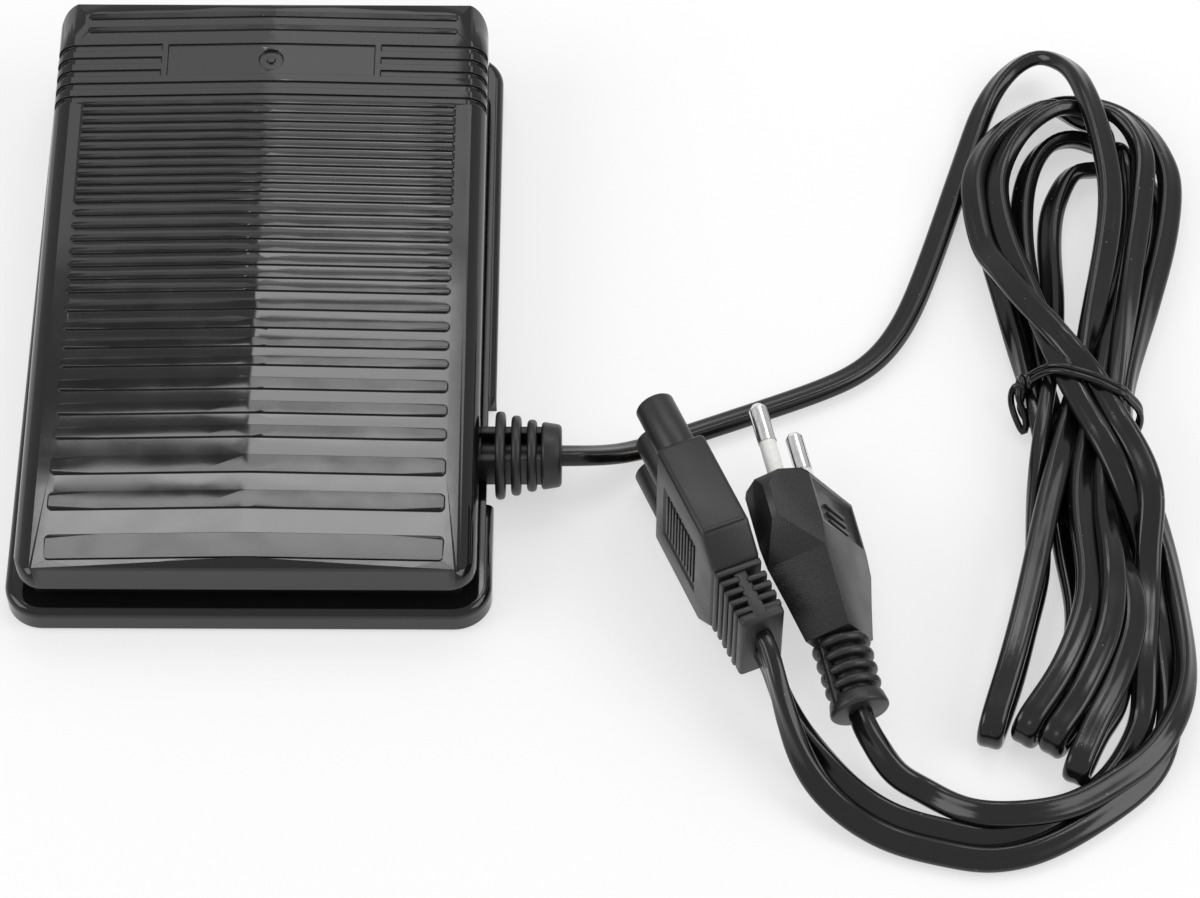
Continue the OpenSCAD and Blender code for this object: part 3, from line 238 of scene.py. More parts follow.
fourth_upper_loop = [
    (171.8, -25.9, 4.9, 95), (168.7, -9.9, 3.3, 60), (168, 2.8, 3.3, 50), (167.6, 12.7, 3.6, 45),
    (167, 22.5, 3.9, 45), (167.7, 35.2, 4, 45), (169.8, 43.7, 4.1, 50), (172.7, 49.1, 4.2, 60),
    (176.1, 52.1, 4.1, 65), (179.4, 53.1, 3.9, 70), (183, 52.8, 3.3, 70), (188.4, 50.6, 3, 65),
    (191.1, 48.3, 5.2, 55), (191.7, 44.1, 7.2, 45), (192.3, 36.7, 5.1, 35), (190.9, 23.7, 3.9, 35),
    (187.8, 11.1, 5.4, 50), (184.7, -1.4, 7.2, 75), (180.4, -21.1, 9.4, 85),
]
fourth_fold = [
    (177.6, -32.5, 9.3, 45), (175.8, -40.7, 10.1, 35), (174.9, -49.8, 10.8, 28), (175, -59, 11.2, 24),
    (175.2, -68.8, 11.6, 18), (173.5, -78.3, 11.8, 12), (170.4, -86.6, 11.5, 6), (167, -93.2, 10.9, 2),
    (163.1, -98.9, 9.9, 0), (161.2, -101.7, 9, None), (160.4, -103, 7.2, None), (160.5, -103, 4.7, None),
    (161.5, -101.7, 2.9, None), (167.5, -93.2, 2.4, 179), (170.5, -86.4, 2.4, 176), (172.9, -78, 2.4, 173),
    (173.5, -68.7, 2.3, 169), (172.4, -59.5, 2.5, 166), (171.4, -50.7, 2.8, 163),
]
fifth_upper_loop = [
    (167, -20.3, 4.6, 95), (165.3, -9.6, 4.2, 70), (163.9, -0.8, 3.8, 50), (161.8, 11.9, 3.2, 30),
    (160, 22.3, 2.8, 25), (159.2, 33.7, 2.7, 30), (160.2, 41, 2.7, 40), (162.6, 47.3, 2.8, 55),
    (166.6, 53.6, 2.9, 65), (171.2, 59.8, 2.9, 70), (176.9, 63.4, 2.9, 75), (182.9, 63.5, 3, 75),
    (188.4, 61.9, 3.6, 65), (193.1, 58.8, 4.3, 55), (196.6, 54.6, 4.6, 45), (199.1, 49.1, 4.7, 35),
    (200.6, 42.9, 4.9, 28), (200.5, 35.2, 5.1, 24), (198.1, 22.1, 5.3, 24), (194.4, 8.7, 5.7, 35),
    (190.3, -5.2, 5.8, 65), (186.3, -24.2, 5.5, 80),
]
plug_lead = [
    (189.8, -42.9, 4.6, 40), (193.4, -58.8, 2.8, 55), (194.6, -70.2, 3, 60), (195.2, -82.7, 3.3, 58),
    (193.3, -94.5, 5, 44), (189.3, -103.3, 6.1, 30), (184.9, -109.1, 6.4, 24), (178.5, -114.1, 6.3, 22),
    (169.6, -119.4, 6.2, 24), (160.4, -121.9, 6.8, 28), (151.6, -121.6, 6, 32), (145, -118.6, 4.1, 34),
    (139.2, -114.8, 3.6, 34), (134, -112.2, 5.6, 38), (129.8, -108, 9.4, 55), (127.4, -104.4, 11.8, 61),
    (126.5, -101.5, 12.3, 61),
]
mains_cord_points = (
    outer_lead + third_upper_loop + third_fold + fourth_upper_loop + fourth_fold + fifth_upper_loop + plug_lead
)
print("mains cord points", len(mains_cord_points))

# %% [markdown]
# ## The flat cord: a smooth line and a steady roll
# A natural cubic spline through the points bends as a springy cord does. It is cut into steps of equal
# length, and a frame is carried along it without twist, one reflection at a time. The wanted lean is
# then added as a slow roll. A half turn changes nothing on a flat cord, so the nearest one is taken.

# %% Spline and frames
CORD_STEP = 1.5 * MM


def smooth_line(points, step):
    places = np.array([p[:3] for p in points]) * MM
    gaps = np.sqrt(np.linalg.norm(np.diff(places, axis=0), axis=1))
    knots = np.concatenate([[0], np.cumsum(gaps)])
    n = len(places)
    system = np.eye(n)
    right = np.zeros((n, 3))
    for i in range(1, n - 1):
        before, after = gaps[i - 1], gaps[i]
        system[i, i - 1:i + 2] = before, 2 * (before + after), after
        right[i] = 6 * ((places[i + 1] - places[i]) / after - (places[i] - places[i - 1]) / before)
    curl = np.linalg.solve(system, right)

    def at(t):
        i = np.clip(np.searchsorted(knots, t) - 1, 0, n - 2)
        h = gaps[i][:, None]
        a = (knots[i + 1] - t)[:, None] / h
        b = 1 - a
        sag = ((a ** 3 - a) * curl[i] + (b ** 3 - b) * curl[i + 1]) * h ** 2 / 6
        return a * places[i] + b * places[i + 1] + sag

    fine = np.linspace(0, knots[-1], 40 * n)
    run = np.concatenate([[0], np.cumsum(np.linalg.norm(np.diff(at(fine), axis=0), axis=1))])
    stops = np.linspace(0, run[-1], int(run[-1] / step) + 1)
    return at(np.interp(stops, run, fine)), stops, np.interp(knots, fine, run)


def unit(v):
    return v / np.linalg.norm(v, axis=-1, keepdims=True)


def rolled_frames(points, line, stops, marks):
    along = unit(np.gradient(line, axis=0))
    side = np.zeros_like(along)
    side[0] = unit(np.cross(along[0], (0, 0, 1)))
    for i in range(1, len(line)):
        step = line[i] - line[i - 1]
        turned = side[i - 1] - 2 * (step @ side[i - 1]) / (step @ step) * step
        ahead = along[i - 1] - 2 * (step @ along[i - 1]) / (step @ step) * step
        kick = along[i] - ahead
        if kick @ kick > 1e-12:
            turned = turned - 2 * (kick @ turned) / (kick @ kick) * kick
        side[i] = unit(turned - along[i] * (turned @ along[i]))
    where, roll = [], []
    for mark, point in zip(marks, points):
        if point[3] is None:
            continue
        i = int(np.argmin(np.abs(stops - mark)))
        level = unit(np.cross(along[i], (0, 0, 1)))
        lean = math.radians(point[3])
        want = math.cos(lean) * level + math.sin(lean) * np.cross(level, along[i])
        turn = math.atan2(want @ np.cross(along[i], side[i]), want @ side[i])
        if roll:
            turn += math.pi * round((roll[-1] - turn) / math.pi)
        where.append(mark)
        roll.append(turn)
    turn = np.interp(stops, where, roll)
    for _ in range(12):
        turn[1:-1] = (turn[:-2] + 2 * turn[1:-1] + turn[2:]) / 4
    other = np.cross(along, side)
    across = np.cos(turn)[:, None] * side + np.sin(turn)[:, None] * other
    return along, across, np.cross(along, across)


print("cord step", CORD_STEP / MM, "mm")

# %% [markdown]
# ## The flat cord: its sheath
# The sheath is soft black plastic with a clear gloss, a faint waviness from the extruder and a few
# specks of dust. Long highlights run along it, so the roughness stays low and only the slow waves bend
# them.

# %% Sheath finish
def cord_sheath():
    finish, tree, shader, place = new_finish("cord_sheath")
    cloud = noise(tree, place, 160)
    fine = noise(tree, place, 2600, 2)
    speck = tree.nodes.new("ShaderNodeTexVoronoi")
    speck.inputs["Scale"].default_value = 260
    tree.links.new(place, speck.inputs["Vector"])
    dust = spread(tree, speck.outputs["Distance"], 1, 0, 0.02, 0.05)
    colour = two_tone(tree, dust, (0.005, 0.005, 0.0055), (0.2, 0.2, 0.2))
    tree.links.new(colour, shader.inputs["Base Color"])
    tree.links.new(spread(tree, cloud, 0.13, 0.22), shader.inputs["Roughness"])
    waves = bump(tree, noise(tree, place, 220, 1), 1.0, 0.00003)
    tree.links.new(bump(tree, fine, 1.0, 0.000004, waves), shader.inputs["Normal"])
    shader.inputs["IOR"].default_value = 1.5
    return finish


sheath = cord_sheath()
print("finish", sheath.name)

# %% [markdown]
# ## The flat cord: its section, swept
# The section starts as one face. Its corners are bevelled round, its wide edges are cut, and the cuts
# dip a little, because the sheath sinks between the two cores. Extruding the open edge once for each
# step and moving the new ring with a matrix sweeps it, as pulling it from a die would.

# %% Sweep the cords
CORD_W, CORD_T = 5.4 * MM, 3.4 * MM


def place_matrix(origin, x, y, z):
    return Matrix(((x[0], y[0], z[0], origin[0]), (x[1], y[1], z[1], origin[1]), (x[2], y[2], z[2], origin[2]),
                   (0, 0, 0, 1)))


def cord_section(bm):
    bmesh.ops.create_grid(bm, x_segments=1, y_segments=1, size=0.5)
    bmesh.ops.scale(bm, vec=(CORD_W, CORD_T, 1), verts=bm.verts[:])
    bmesh.ops.bevel(bm, geom=bm.verts[:], offset=1.25 * MM, affect="VERTICES", segments=4, profile=0.5,
                    material=-1)
    wide = [e for e in bm.edges if e.calc_length() > 2 * MM]
    bmesh.ops.subdivide_edges(bm, edges=wide, cuts=5)
    for vert in bm.verts:
        dip = max(0.0, 1 - abs(vert.co.x) / (1.1 * MM))
        vert.co.y *= 1 - 0.05 * dip


def sweep(bm, frames):
    edges = [e for e in bm.edges if e.is_boundary]
    bmesh.ops.transform(bm, matrix=frames[0], verts=bm.verts[:])
    for before, after in zip(frames, frames[1:]):
        grown = bmesh.ops.extrude_edge_only(bm, edges=edges)["geom"]
        ring = [g for g in grown if isinstance(g, bmesh.types.BMVert)]
        inside = set(ring)
        edges = [g for g in grown if isinstance(g, bmesh.types.BMEdge) and inside.issuperset(g.verts)]
        bmesh.ops.transform(bm, matrix=after @ before.inverted(), verts=ring)
    bmesh.ops.edgeloop_fill(bm, edges=edges)


def piece(name, bm, finish, body="base", sharp=38):
    bmesh.ops.recalc_face_normals(bm, faces=bm.faces[:])
    for face in bm.faces:
        face.smooth = True
    mesh = bpy.data.meshes.new(name)
    bm.to_mesh(mesh)
    bm.free()
    mesh.set_sharp_from_angle(angle=math.radians(sharp))
    mesh.materials.append(finish)
    obj = bpy.data.objects.new(name, mesh)
    scene.collection.objects.link(obj)
    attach(obj, body)
    return obj


def flat_cord(name, points):
    line, stops, marks = smooth_line(points, CORD_STEP)
    along, across, thin = rolled_frames(points, line, stops, marks)
    frames = [place_matrix(*parts) for parts in zip(line, across, thin, along)]
    bm = bmesh.new()
    cord_section(bm)
    sweep(bm, frames)
    obj = piece(name, bm, sheath, sharp=60)
    print(name, "length", round(stops[-1], 4), "lowest", round(min(v.co.z for v in obj.data.vertices) / MM, 2), "mm")
    return obj, line, stops[-1]


pedal_cord, pedal_line, pedal_length = flat_cord("flat_cord_pedal", pedal_cord_points)
mains_cord, mains_line, mains_length = flat_cord("flat_cord_mains", mains_cord_points)
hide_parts("pedal_cord", "cord_hank", "connector_cord")
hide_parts("mains_cord_start", "mains_cord_end")

# %% [markdown]
# ## The tie
# A thin plastic-covered wire is wound twice around the waist of the hank. At the left it makes an ear and
# ends in a twist. It is swept as the cords are, from a round section. Its points lie just outside the
# strands that it holds, and the second turn is the first one moved by its own width.

# %% Tie wire
TIE_R = 0.72 * MM


def round_section(bm, radius, segments=14):
    bmesh.ops.create_circle(bm, cap_ends=True, segments=segments, radius=radius)


def wire(name, points, radius, finish, step=0.7 * MM):
    line, stops, marks = smooth_line([(*p, None) for p in points], step)
    points = [(*points[0], 0)] + [(*p, None) for p in points[1:]]
    along, across, thin = rolled_frames(points, line, stops, marks)
    bm = bmesh.new()
    round_section(bm, radius)
    sweep(bm, [place_matrix(*parts) for parts in zip(line, across, thin, along)])
    return piece(name, bm, finish, sharp=60)


over_the_hank = [
    (165.1, -16.9, 8.8), (166.6, -16.7, 11.2), (168.3, -17, 13.4), (169.8, -17.4, 15), (171.8, -18, 16), (173.9, -18.8, 16.4),
    (176, -19.5, 16.4), (178.5, -20.4, 16.3), (180.9, -21.7, 16.4), (183, -23, 16.3), (184.8, -23.9, 15.8),
    (186.9, -24.2, 13.2), (188.8, -24.4, 10.2), (189.4, -25, 6.6), (188.6, -25.4, 2.8),
]
under_the_hank = [
    (187.4, -25.4, 1.6), (185, -25.2, 1.2), (181, -24.6, 1.1), (175, -23.4, 1.1), (169, -22.6, 1.1),
    (166.4, -22.1, 1.7), (164.8, -21, 3.4), (164, -19.6, 5.6),
]
TURN_PITCH = 1.5


def next_turn(points):
    """The second turn lies against the first, a wire's width nearer."""
    return [(x, y - TURN_PITCH, z) for x, y, z in points]


ear_loop = [(164.5, -19, 8.4), (163.2, -18.2, 8.6), (162.2, -18.8, 7), (162.2, -20.4, 5), (163.2, -23.4, 3.4), (164.8, -26, 2.2),
            (165.2, -24.6, 3.6), (164.2, -21.6, 5.8), (163.4, -19.4, 7.8)]
knot = []
for k in range(13):
    a = math.radians(60 * k)
    knot.append((163.9 + 0.22 * k, -17.6 + 1.05 * math.cos(a) - 0.04 * k, 8.9 + 1.05 * math.sin(a) + 0.1 * k))
tie_points = (
    over_the_hank + under_the_hank + next_turn(over_the_hank) + next_turn(under_the_hank) + ear_loop + knot
)
tie_wire = wire("tie_wire", tie_points, TIE_R, sheath)
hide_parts("hank_tie")
print("tie faces", len(tie_wire.data.polygons))

# %% [markdown]
# ## Floor
# The floor is white paper. What the camera and a glossy part see of it is mixed with plain white, so it
# reads as a white background, while its shadow and the light that it throws back stay those of paper.

# %% Floor
bm = bmesh.new()
bmesh.ops.create_grid(bm, x_segments=1, y_segments=1, size=3)
floor_mesh = bpy.data.meshes.new("floor")
bm.to_mesh(floor_mesh)
bm.free()
floor = bpy.data.objects.new("floor", floor_mesh)
scene.collection.objects.link(floor)
floor_finish, tree, shader, place = new_finish("floor_white")
shader.inputs["Base Color"].default_value = (0.93, 0.93, 0.93, 1)
shader.inputs["Specular IOR Level"].default_value = 0.0
tree.links.new(spread(tree, noise(tree, place, 40), 0.85, 0.95), shader.inputs["Roughness"])
white = tree.nodes.new("ShaderNodeEmission")
rays = tree.nodes.new("ShaderNodeLightPath")
seen = rays.outputs["Is Camera Ray"]
for name in ("Is Glossy Ray", "Is Transmission Ray"):
    either = tree.nodes.new("ShaderNodeMath")
    either.operation = "MAXIMUM"
    tree.links.new(seen, either.inputs[0])
    tree.links.new(rays.outputs[name], either.inputs[1])
    seen = either.outputs[0]
blend = tree.nodes.new("ShaderNodeMixShader")
tree.links.new(spread(tree, seen, 0, 0.56, 0, 1), blend.inputs["Fac"])
tree.links.new(shader.outputs["BSDF"], blend.inputs[1])
tree.links.new(white.outputs["Emission"], blend.inputs[2])
tree.links.new(blend.outputs["Shader"], tree.nodes["Material Output"].inputs["Surface"])
floor.data.materials.append(floor_finish)
print("floor", floor.name)

# %% [markdown]
# ## Light
# A glossy black part shows little but the lights that it mirrors. A bright strip hangs behind and above
# the pedal, wide on the right, and a large dim panel hangs further back: the treadle mirrors the strip
# at its near end and the dim panel at its far end. Two side panels light the white floor, and only the
# corners and the cords mirror them.

# %% Light
world = bpy.data.worlds.new("sky")
scene.world = world
world.use_nodes = True
world.node_tree.nodes["Background"].inputs["Color"].default_value = (1, 1, 1, 1)
world.node_tree.nodes["Background"].inputs["Strength"].default_value = 0.58


def panel(name, low, high, height, radiance, tilt=0.0):
    light = bpy.data.lights.new(name, "AREA")
    light.shape = "RECTANGLE"
    light.size, light.size_y = high[0] - low[0], high[1] - low[1]
    light.energy = radiance * math.pi * light.size * light.size_y
    lamp = bpy.data.objects.new(name, light)
    lamp.location = ((low[0] + high[0]) / 2, (low[1] + high[1]) / 2, height)
    lamp.rotation_euler = (0, math.radians(tilt), 0)
    scene.collection.objects.link(lamp)
    return lamp


panel("panel_near", (-0.3, 0.447), (0.075, 0.511), 1.1, 7.5)
panel("panel_right", (-0.11, 0.511), (0.075, 0.63), 1.1, 5.6)
panel("panel_far_left", (-0.42, 0.64), (-0.1, 1.15), 1.1, 1.15)
panel("panel_far_right", (-0.1, 0.64), (0.085, 1.15), 1.1, 1.8)
panel("panel_far_cords", (0.32, 0.64), (0.65, 1.15), 1.1, 1.8)
panel("panel_cords", (0.2, 0.40), (0.65, 0.62), 1.1, 2.4)
panel("panel_noses", (0.2, 0.33), (0.45, 0.40), 1.1, 7.5)
panel("panel_side_right", (0.6, -0.6), (1.3, 0.15), 0.8, 2.7, 50)
panel("panel_side_left", (-1.3, -0.6), (-0.6, 0.15), 0.8, 2.7, -50)
scene.view_settings.view_transform = "Standard"

# %% [markdown]
# ## Finishes of the hard pieces
# The pedal's shell is glossy moulded plastic. The connector, the plug and the ringed relief are matte
# and grained, the pins are nickel plated, and the pieces inside have the plain finishes of their trade.

# %% Finishes
gloss = moulded("shell_gloss", (0.005, 0.005, 0.0055), (0.007, 0.007, 0.0075), (0.05, 0.08), 3200, 0.0000005, 0.000005)
grained = moulded("grained_black", (0.007, 0.007, 0.0075), (0.022, 0.022, 0.023), (0.28, 0.4), 3000, 0.00006)
satin = moulded("satin_black", (0.010, 0.010, 0.011), (0.018, 0.018, 0.019), (0.34, 0.44), 4200, 0.000016, 0.00001)
part_black = moulded("part_black", (0.016, 0.016, 0.018), (0.026, 0.026, 0.028), (0.35, 0.5), 2400, 0.00003)
foot_rubber = moulded("foot_rubber", (0.022, 0.022, 0.024), (0.04, 0.04, 0.042), (0.7, 0.86), 1800, 0.00004)
sleeve_white = moulded("sleeve_white", (0.72, 0.72, 0.70), (0.82, 0.82, 0.80), (0.3, 0.42), 1500, 0.000008)
board_brown = moulded("board_brown", (0.2, 0.11, 0.035), (0.3, 0.18, 0.07), (0.35, 0.5), 900, 0.00001)
dipped_gold = moulded("dipped_gold", (0.48, 0.3, 0.04), (0.6, 0.41, 0.07), (0.2, 0.34), 500, 0.00002)
ferrite_grey = moulded("ferrite_grey", (0.035, 0.037, 0.042), (0.06, 0.063, 0.07), (0.5, 0.7), 2800, 0.00005)
lacquer_tan = moulded("lacquer_tan", (0.38, 0.25, 0.12), (0.5, 0.34, 0.19), (0.25, 0.4), 1300, 0.00002)
glass_red = moulded("glass_red", (0.26, 0.05, 0.025), (0.36, 0.075, 0.04), (0.12, 0.2), 1300, 0.00001)
block_green = moulded("block_green", (0.022, 0.12, 0.055), (0.04, 0.18, 0.085), (0.35, 0.5), 1500, 0.00002)
guard_cream = moulded("guard_cream", (0.6, 0.58, 0.52), (0.72, 0.7, 0.64), (0.4, 0.55), 1700, 0.00003)
wire_brown = moulded("wire_brown", (0.08, 0.045, 0.045), (0.13, 0.08, 0.08), (0.28, 0.4), 1500, 0.00001)


def bare_metal(name, dark, light, rough, grain, stretch):
    """Metal with drawn or turned marks: noise stretched along one axis, in colour, gloss and bump."""
    finish, tree, shader, place = new_finish(name)
    marks = noise(tree, place, grain, 3, stretch)
    cloud = noise(tree, place, 300, 3)
    tree.links.new(two_tone(tree, spread(tree, cloud, 0, 1), dark, light), shader.inputs["Base Color"])
    tree.links.new(spread(tree, marks, *rough), shader.inputs["Roughness"])
    tree.links.new(bump(tree, marks, 1.0, 0.000006), shader.inputs["Normal"])
    shader.inputs["Metallic"].default_value = 1.0
    return finish


steel = bare_metal("zinc_steel", (0.48, 0.49, 0.50), (0.62, 0.63, 0.64), (0.22, 0.38), 1500, (1, 1, 0.1))
aluminium = bare_metal("plain_aluminium", (0.55, 0.56, 0.57), (0.66, 0.67, 0.68), (0.3, 0.46), 1500, (0.1, 1, 1))
brass = bare_metal("plain_brass", (0.52, 0.35, 0.11), (0.66, 0.47, 0.17), (0.2, 0.35), 1600, (1, 0.2, 1))
nickel = bare_metal("bright_nickel", (0.70, 0.70, 0.71), (0.80, 0.80, 0.81), (0.08, 0.18), 1800, (1, 0.15, 1))
copper = bare_metal("enamelled_copper", (0.42, 0.16, 0.05), (0.56, 0.24, 0.09), (0.18, 0.3), 1600, (1, 1, 0.3))
print("finishes", len(bpy.data.materials))

# %% Give each node its finish
node_finish = {
    gloss: ("base_tray", "treadle_cover"),
    satin: ("strain_relief", "machine_connector", "connector_barrels", "connector_boot"),
    grained: ("mains_plug",),
    sheath: ("cord_tail", "pedal_cord", "cord_hank", "hank_tie", "connector_cord", "mains_cord_start",
             "mains_cord_end"),
    foot_rubber: ("rubber_feet", "bump_stops"),
    steel: ("hinge_pin", "pin_clips", "board_screws", "triac_screw", "terminal_screws",
            "guard_screws", "housing_screws", "clamp_screws"),
    aluminium: ("heat_sink",),
    brass: ("connector_sockets", "wiper_contact"),
    nickel: ("plug_pins",),
    sleeve_white: ("pin_sleeves",),
    board_brown: ("circuit_board",),
    part_black: ("triac", "plunger_housing", "plunger", "cord_clamp", "resistor_strip"),
    dipped_gold: ("filter_capacitor",),
    ferrite_grey: ("choke_core",),
    copper: ("choke_winding",),
    lacquer_tan: ("resistors",),
    glass_red: ("diac",),
    block_green: ("terminal_block",),
    guard_cream: ("guard_cover",),
    wire_brown: ("lead_wires",),
}
dressed = set()
for finish, names in node_finish.items():
    for name in names:
        nodes[name].data.materials.clear()
        nodes[name].data.materials.append(finish)
        dressed.add(name)
print("nodes without a finish", sorted(set(nodes) - dressed))

# %% [markdown]
# ## Shapes that are put together
# A moulded piece is often a sum of plain bodies with rounded edges. Each body is made on its own from a
# create operator, its sharp edges are bevelled, and a matrix puts it in its place in one shared mesh.
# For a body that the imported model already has, a copy of its triangles is merged, its flat faces are
# made whole again, and then it can be bevelled like any other.

# %% Helpers for moulded shapes
def soften(bm, width, angle=30, shortest=0.0, segments=3):
    edges = [e for e in bm.edges if len(e.link_faces) == 2 and e.calc_length() > shortest * MM
             and e.calc_face_angle(0) > math.radians(angle)]
    bmesh.ops.bevel(bm, geom=edges, offset=width * MM, affect="EDGES", segments=segments, profile=0.5,
                    material=-1, clamp_overlap=True)


def block(size, at=(0, 0, 0), edge=0.3):
    bm = bmesh.new()
    bmesh.ops.create_cube(bm, size=1)
    bmesh.ops.scale(bm, vec=[s * MM for s in size], verts=bm.verts[:])
    if edge:
        soften(bm, edge)
    bmesh.ops.translate(bm, vec=[a * MM for a in at], verts=bm.verts[:])
    return bm


def disc(start, stop, radius, end_radius=None, edge=0.6, segments=56):
    """A round body along Z, from start to stop, with rounded rims."""
    bm = bmesh.new()
    bmesh.ops.create_cone(bm, cap_ends=True, segments=segments, radius1=radius * MM,
                          radius2=(end_radius or radius) * MM, depth=(stop - start) * MM)
    soften(bm, edge, angle=50)
    bmesh.ops.translate(bm, vec=(0, 0, (start + stop) / 2 * MM), verts=bm.verts[:])
    return bm


def put_together(bodies, place=Matrix()):
    whole = bmesh.new()
    for body in bodies:
        part = bpy.data.meshes.new("part")
        body.to_mesh(part)
        body.free()
        whole.from_mesh(part)
        bpy.data.meshes.remove(part)
    whole.transform(place)
    return whole


def copy_of(node, place):
    bm = bmesh.new()
    bm.from_mesh(nodes[node].data)
    bmesh.ops.remove_doubles(bm, verts=bm.verts[:], dist=0.002 * MM)
    bmesh.ops.dissolve_limit(bm, angle_limit=math.radians(1), verts=bm.verts[:], edges=bm.edges[:])
    bm.transform(place.inverted())
    return bm


print("shape helpers ready")

# %% [markdown]
# ## Treadle
# The treadle is one glossy moulding with raised bars, grooves and a sunk panel. What makes it look moulded
# is that no edge is sharp: a small round on each bar and a fillet at its foot catch thin lines of light.
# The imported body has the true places, so a copy of it is used. Its top is bent to the shallow ridge that
# the real one has along its middle, its edges are bevelled, and weighted normals keep its flats flat.

# %% Treadle
TOP_RISE, TOP_MID = 8 / 145, 24.6 * MM
CROWN_R = 728.4 * MM
FACET = math.radians(0.5)
RIDGE_FALL, RIDGE_SOFT = 0.031, 1.6 * MM
BEND_DEPTH, BEND_FADE = 3.2 * MM, 2.2 * MM


def top_height(x, y):
    """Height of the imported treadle's top without its bars: a crown of flat facets on a slope."""
    steps = CROWN_R * np.sin(FACET * np.arange(9))
    drops = CROWN_R * (1 - np.cos(FACET * np.arange(9)))
    return TOP_MID + y * TOP_RISE - float(np.interp(abs(x), steps, drops))


def ridge_drop(x):
    return RIDGE_FALL * (math.hypot(x, RIDGE_SOFT) - RIDGE_SOFT)


treadle = bmesh.new()
treadle.from_mesh(nodes["treadle_cover"].data)
bmesh.ops.remove_doubles(treadle, verts=treadle.verts[:], dist=0.002 * MM)
bmesh.ops.dissolve_limit(treadle, angle_limit=math.radians(0.05), verts=treadle.verts[:], edges=treadle.edges[:])
for cut in (-3.2, -1.4, 1.4, 3.2):
    skin = [f for f in treadle.faces if f.calc_center_median().z > top_height(0, f.calc_center_median().y) - 3 * MM]
    geom = set(skin)
    for face in skin:
        geom.update(face.edges)
        geom.update(face.verts)
    bmesh.ops.bisect_plane(treadle, geom=list(geom), plane_co=(cut * MM, 0, 0), plane_no=(1, 0, 0))
for vert in treadle.verts:
    x, y, z = vert.co
    level = top_height(x, y)
    if abs(x) < 43.5 * MM:
        share = min(max((z - level + BEND_DEPTH) / BEND_FADE, 0), 1)
        vert.co.z += share * (TOP_MID + y * TOP_RISE - ridge_drop(x) - level)
bmesh.ops.dissolve_limit(treadle, angle_limit=math.radians(0.05), verts=treadle.verts[:], edges=treadle.edges[:])
print("treadle faces", len(treadle.faces))


# %% Treadle edges
BEVEL_REACH = 69.4 * MM
ARCH_SIDES = 30


def tread_edges(convex):
    found = []
    for edge in treadle.edges:
        middle = (edge.verts[0].co + edge.verts[1].co) / 2
        if (len(edge.link_faces) == 2 and edge.calc_face_angle(0) > math.radians(40) and edge.is_convex == convex
                and abs(middle.y) < BEVEL_REACH
                and middle.z > top_height(middle.x, middle.y) - (1.3 if abs(middle.x) < 43 * MM else 9) * MM):
            found.append(edge)
    return found


arches = [f for f in treadle.faces if len(f.verts) > ARCH_SIDES and abs(f.normal.y) > 0.99]
geom = set(arches)
for face in arches:
    geom.update(face.edges)
    geom.update(face.verts)
for cut in (-46.5, -43, 0, 43, 46.5):
    geom = bmesh.ops.bisect_plane(treadle, geom=list(geom), plane_co=(cut * MM, 0, 0), plane_no=(1, 0, 0))["geom"]
print("groove walls", len(arches))
for convex, width, segments in ((True, 0.13, 2), (False, 0.2, 3)):
    bmesh.ops.bevel(treadle, geom=tread_edges(convex), offset=width * MM, affect="EDGES", segments=segments,
                    profile=0.5, material=-1, clamp_overlap=False)
worn = treadle.faces.layers.float.new("bar_top")
treadle.normal_update()
for face in treadle.faces:
    x, y, z = face.calc_center_median()
    over = z - (TOP_MID + y * TOP_RISE - ridge_drop(x))
    face[worn] = float(face.normal.z > 0.9 and over > 0.25 * MM)
print("bar tops", sum(int(face[worn]) for face in treadle.faces))

# %% [markdown]
# Feet rub the bars' tops, so they mirror less than the floor between them, in a cloudy way. The mesh says
# which faces are tops, and the finish reads that.

# %% Treadle finish and piece
def worn_gloss():
    finish, tree, shader, place = new_finish("tread_gloss")
    cloud = noise(tree, place, 110)
    fine = noise(tree, place, 3200, 2)
    colour = two_tone(tree, spread(tree, fine, 0, 1), (0.005, 0.005, 0.0055), (0.007, 0.007, 0.0075))
    tree.links.new(colour, shader.inputs["Base Color"])
    top = tree.nodes.new("ShaderNodeAttribute")
    top.attribute_name = "bar_top"
    shine = tree.nodes.new("ShaderNodeMapRange")
    shine.inputs["To Min"].default_value = 0.5
    tree.links.new(top.outputs["Fac"], shine.inputs["Value"])
    tree.links.new(spread(tree, cloud, 0.27, 0.42), shine.inputs["To Max"])
    tree.links.new(shine.outputs["Result"], shader.inputs["Specular IOR Level"])
    tree.links.new(spread(tree, cloud, 0.05, 0.09), shader.inputs["Roughness"])
    grain = bump(tree, fine, 1.0, 0.0000005)
    tree.links.new(bump(tree, noise(tree, place, 140, 1), 1.0, 0.000005, grain), shader.inputs["Normal"])
    return finish


def keep_flats(obj):
    """Large faces rule the normals, so flats stay flat and small rounds shade softly."""
    rule = obj.modifiers.new("flat_faces_rule", "WEIGHTED_NORMAL")
    rule.keep_sharp = True


NEAR_END = -70 * MM
treadle_shell = piece("treadle_shell", treadle, worn_gloss(), body="treadle", sharp=50)
for face in treadle_shell.data.polygons:
    nearest = min(treadle_shell.data.vertices[v].co.y for v in face.vertices)
    face.use_smooth = face.normal.z < 0.99 or nearest > NEAR_END
keep_flats(treadle_shell)
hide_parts("treadle_cover")
print("treadle shell faces", len(treadle_shell.data.polygons))

# %% [markdown]
# Springs shorten when the treadle goes down, and a rigid body can't show that. Each spring here is a merged copy of
# the imported one, with a mesh of its own.


def soft_spring(name, node):
    bm = bmesh.new()
    bm.from_mesh(nodes[node].data)
    bmesh.ops.remove_doubles(bm, verts=bm.verts[:], dist=0.002 * MM)
    obj = piece(name, bm, steel)
    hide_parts(node)
    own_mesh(obj)


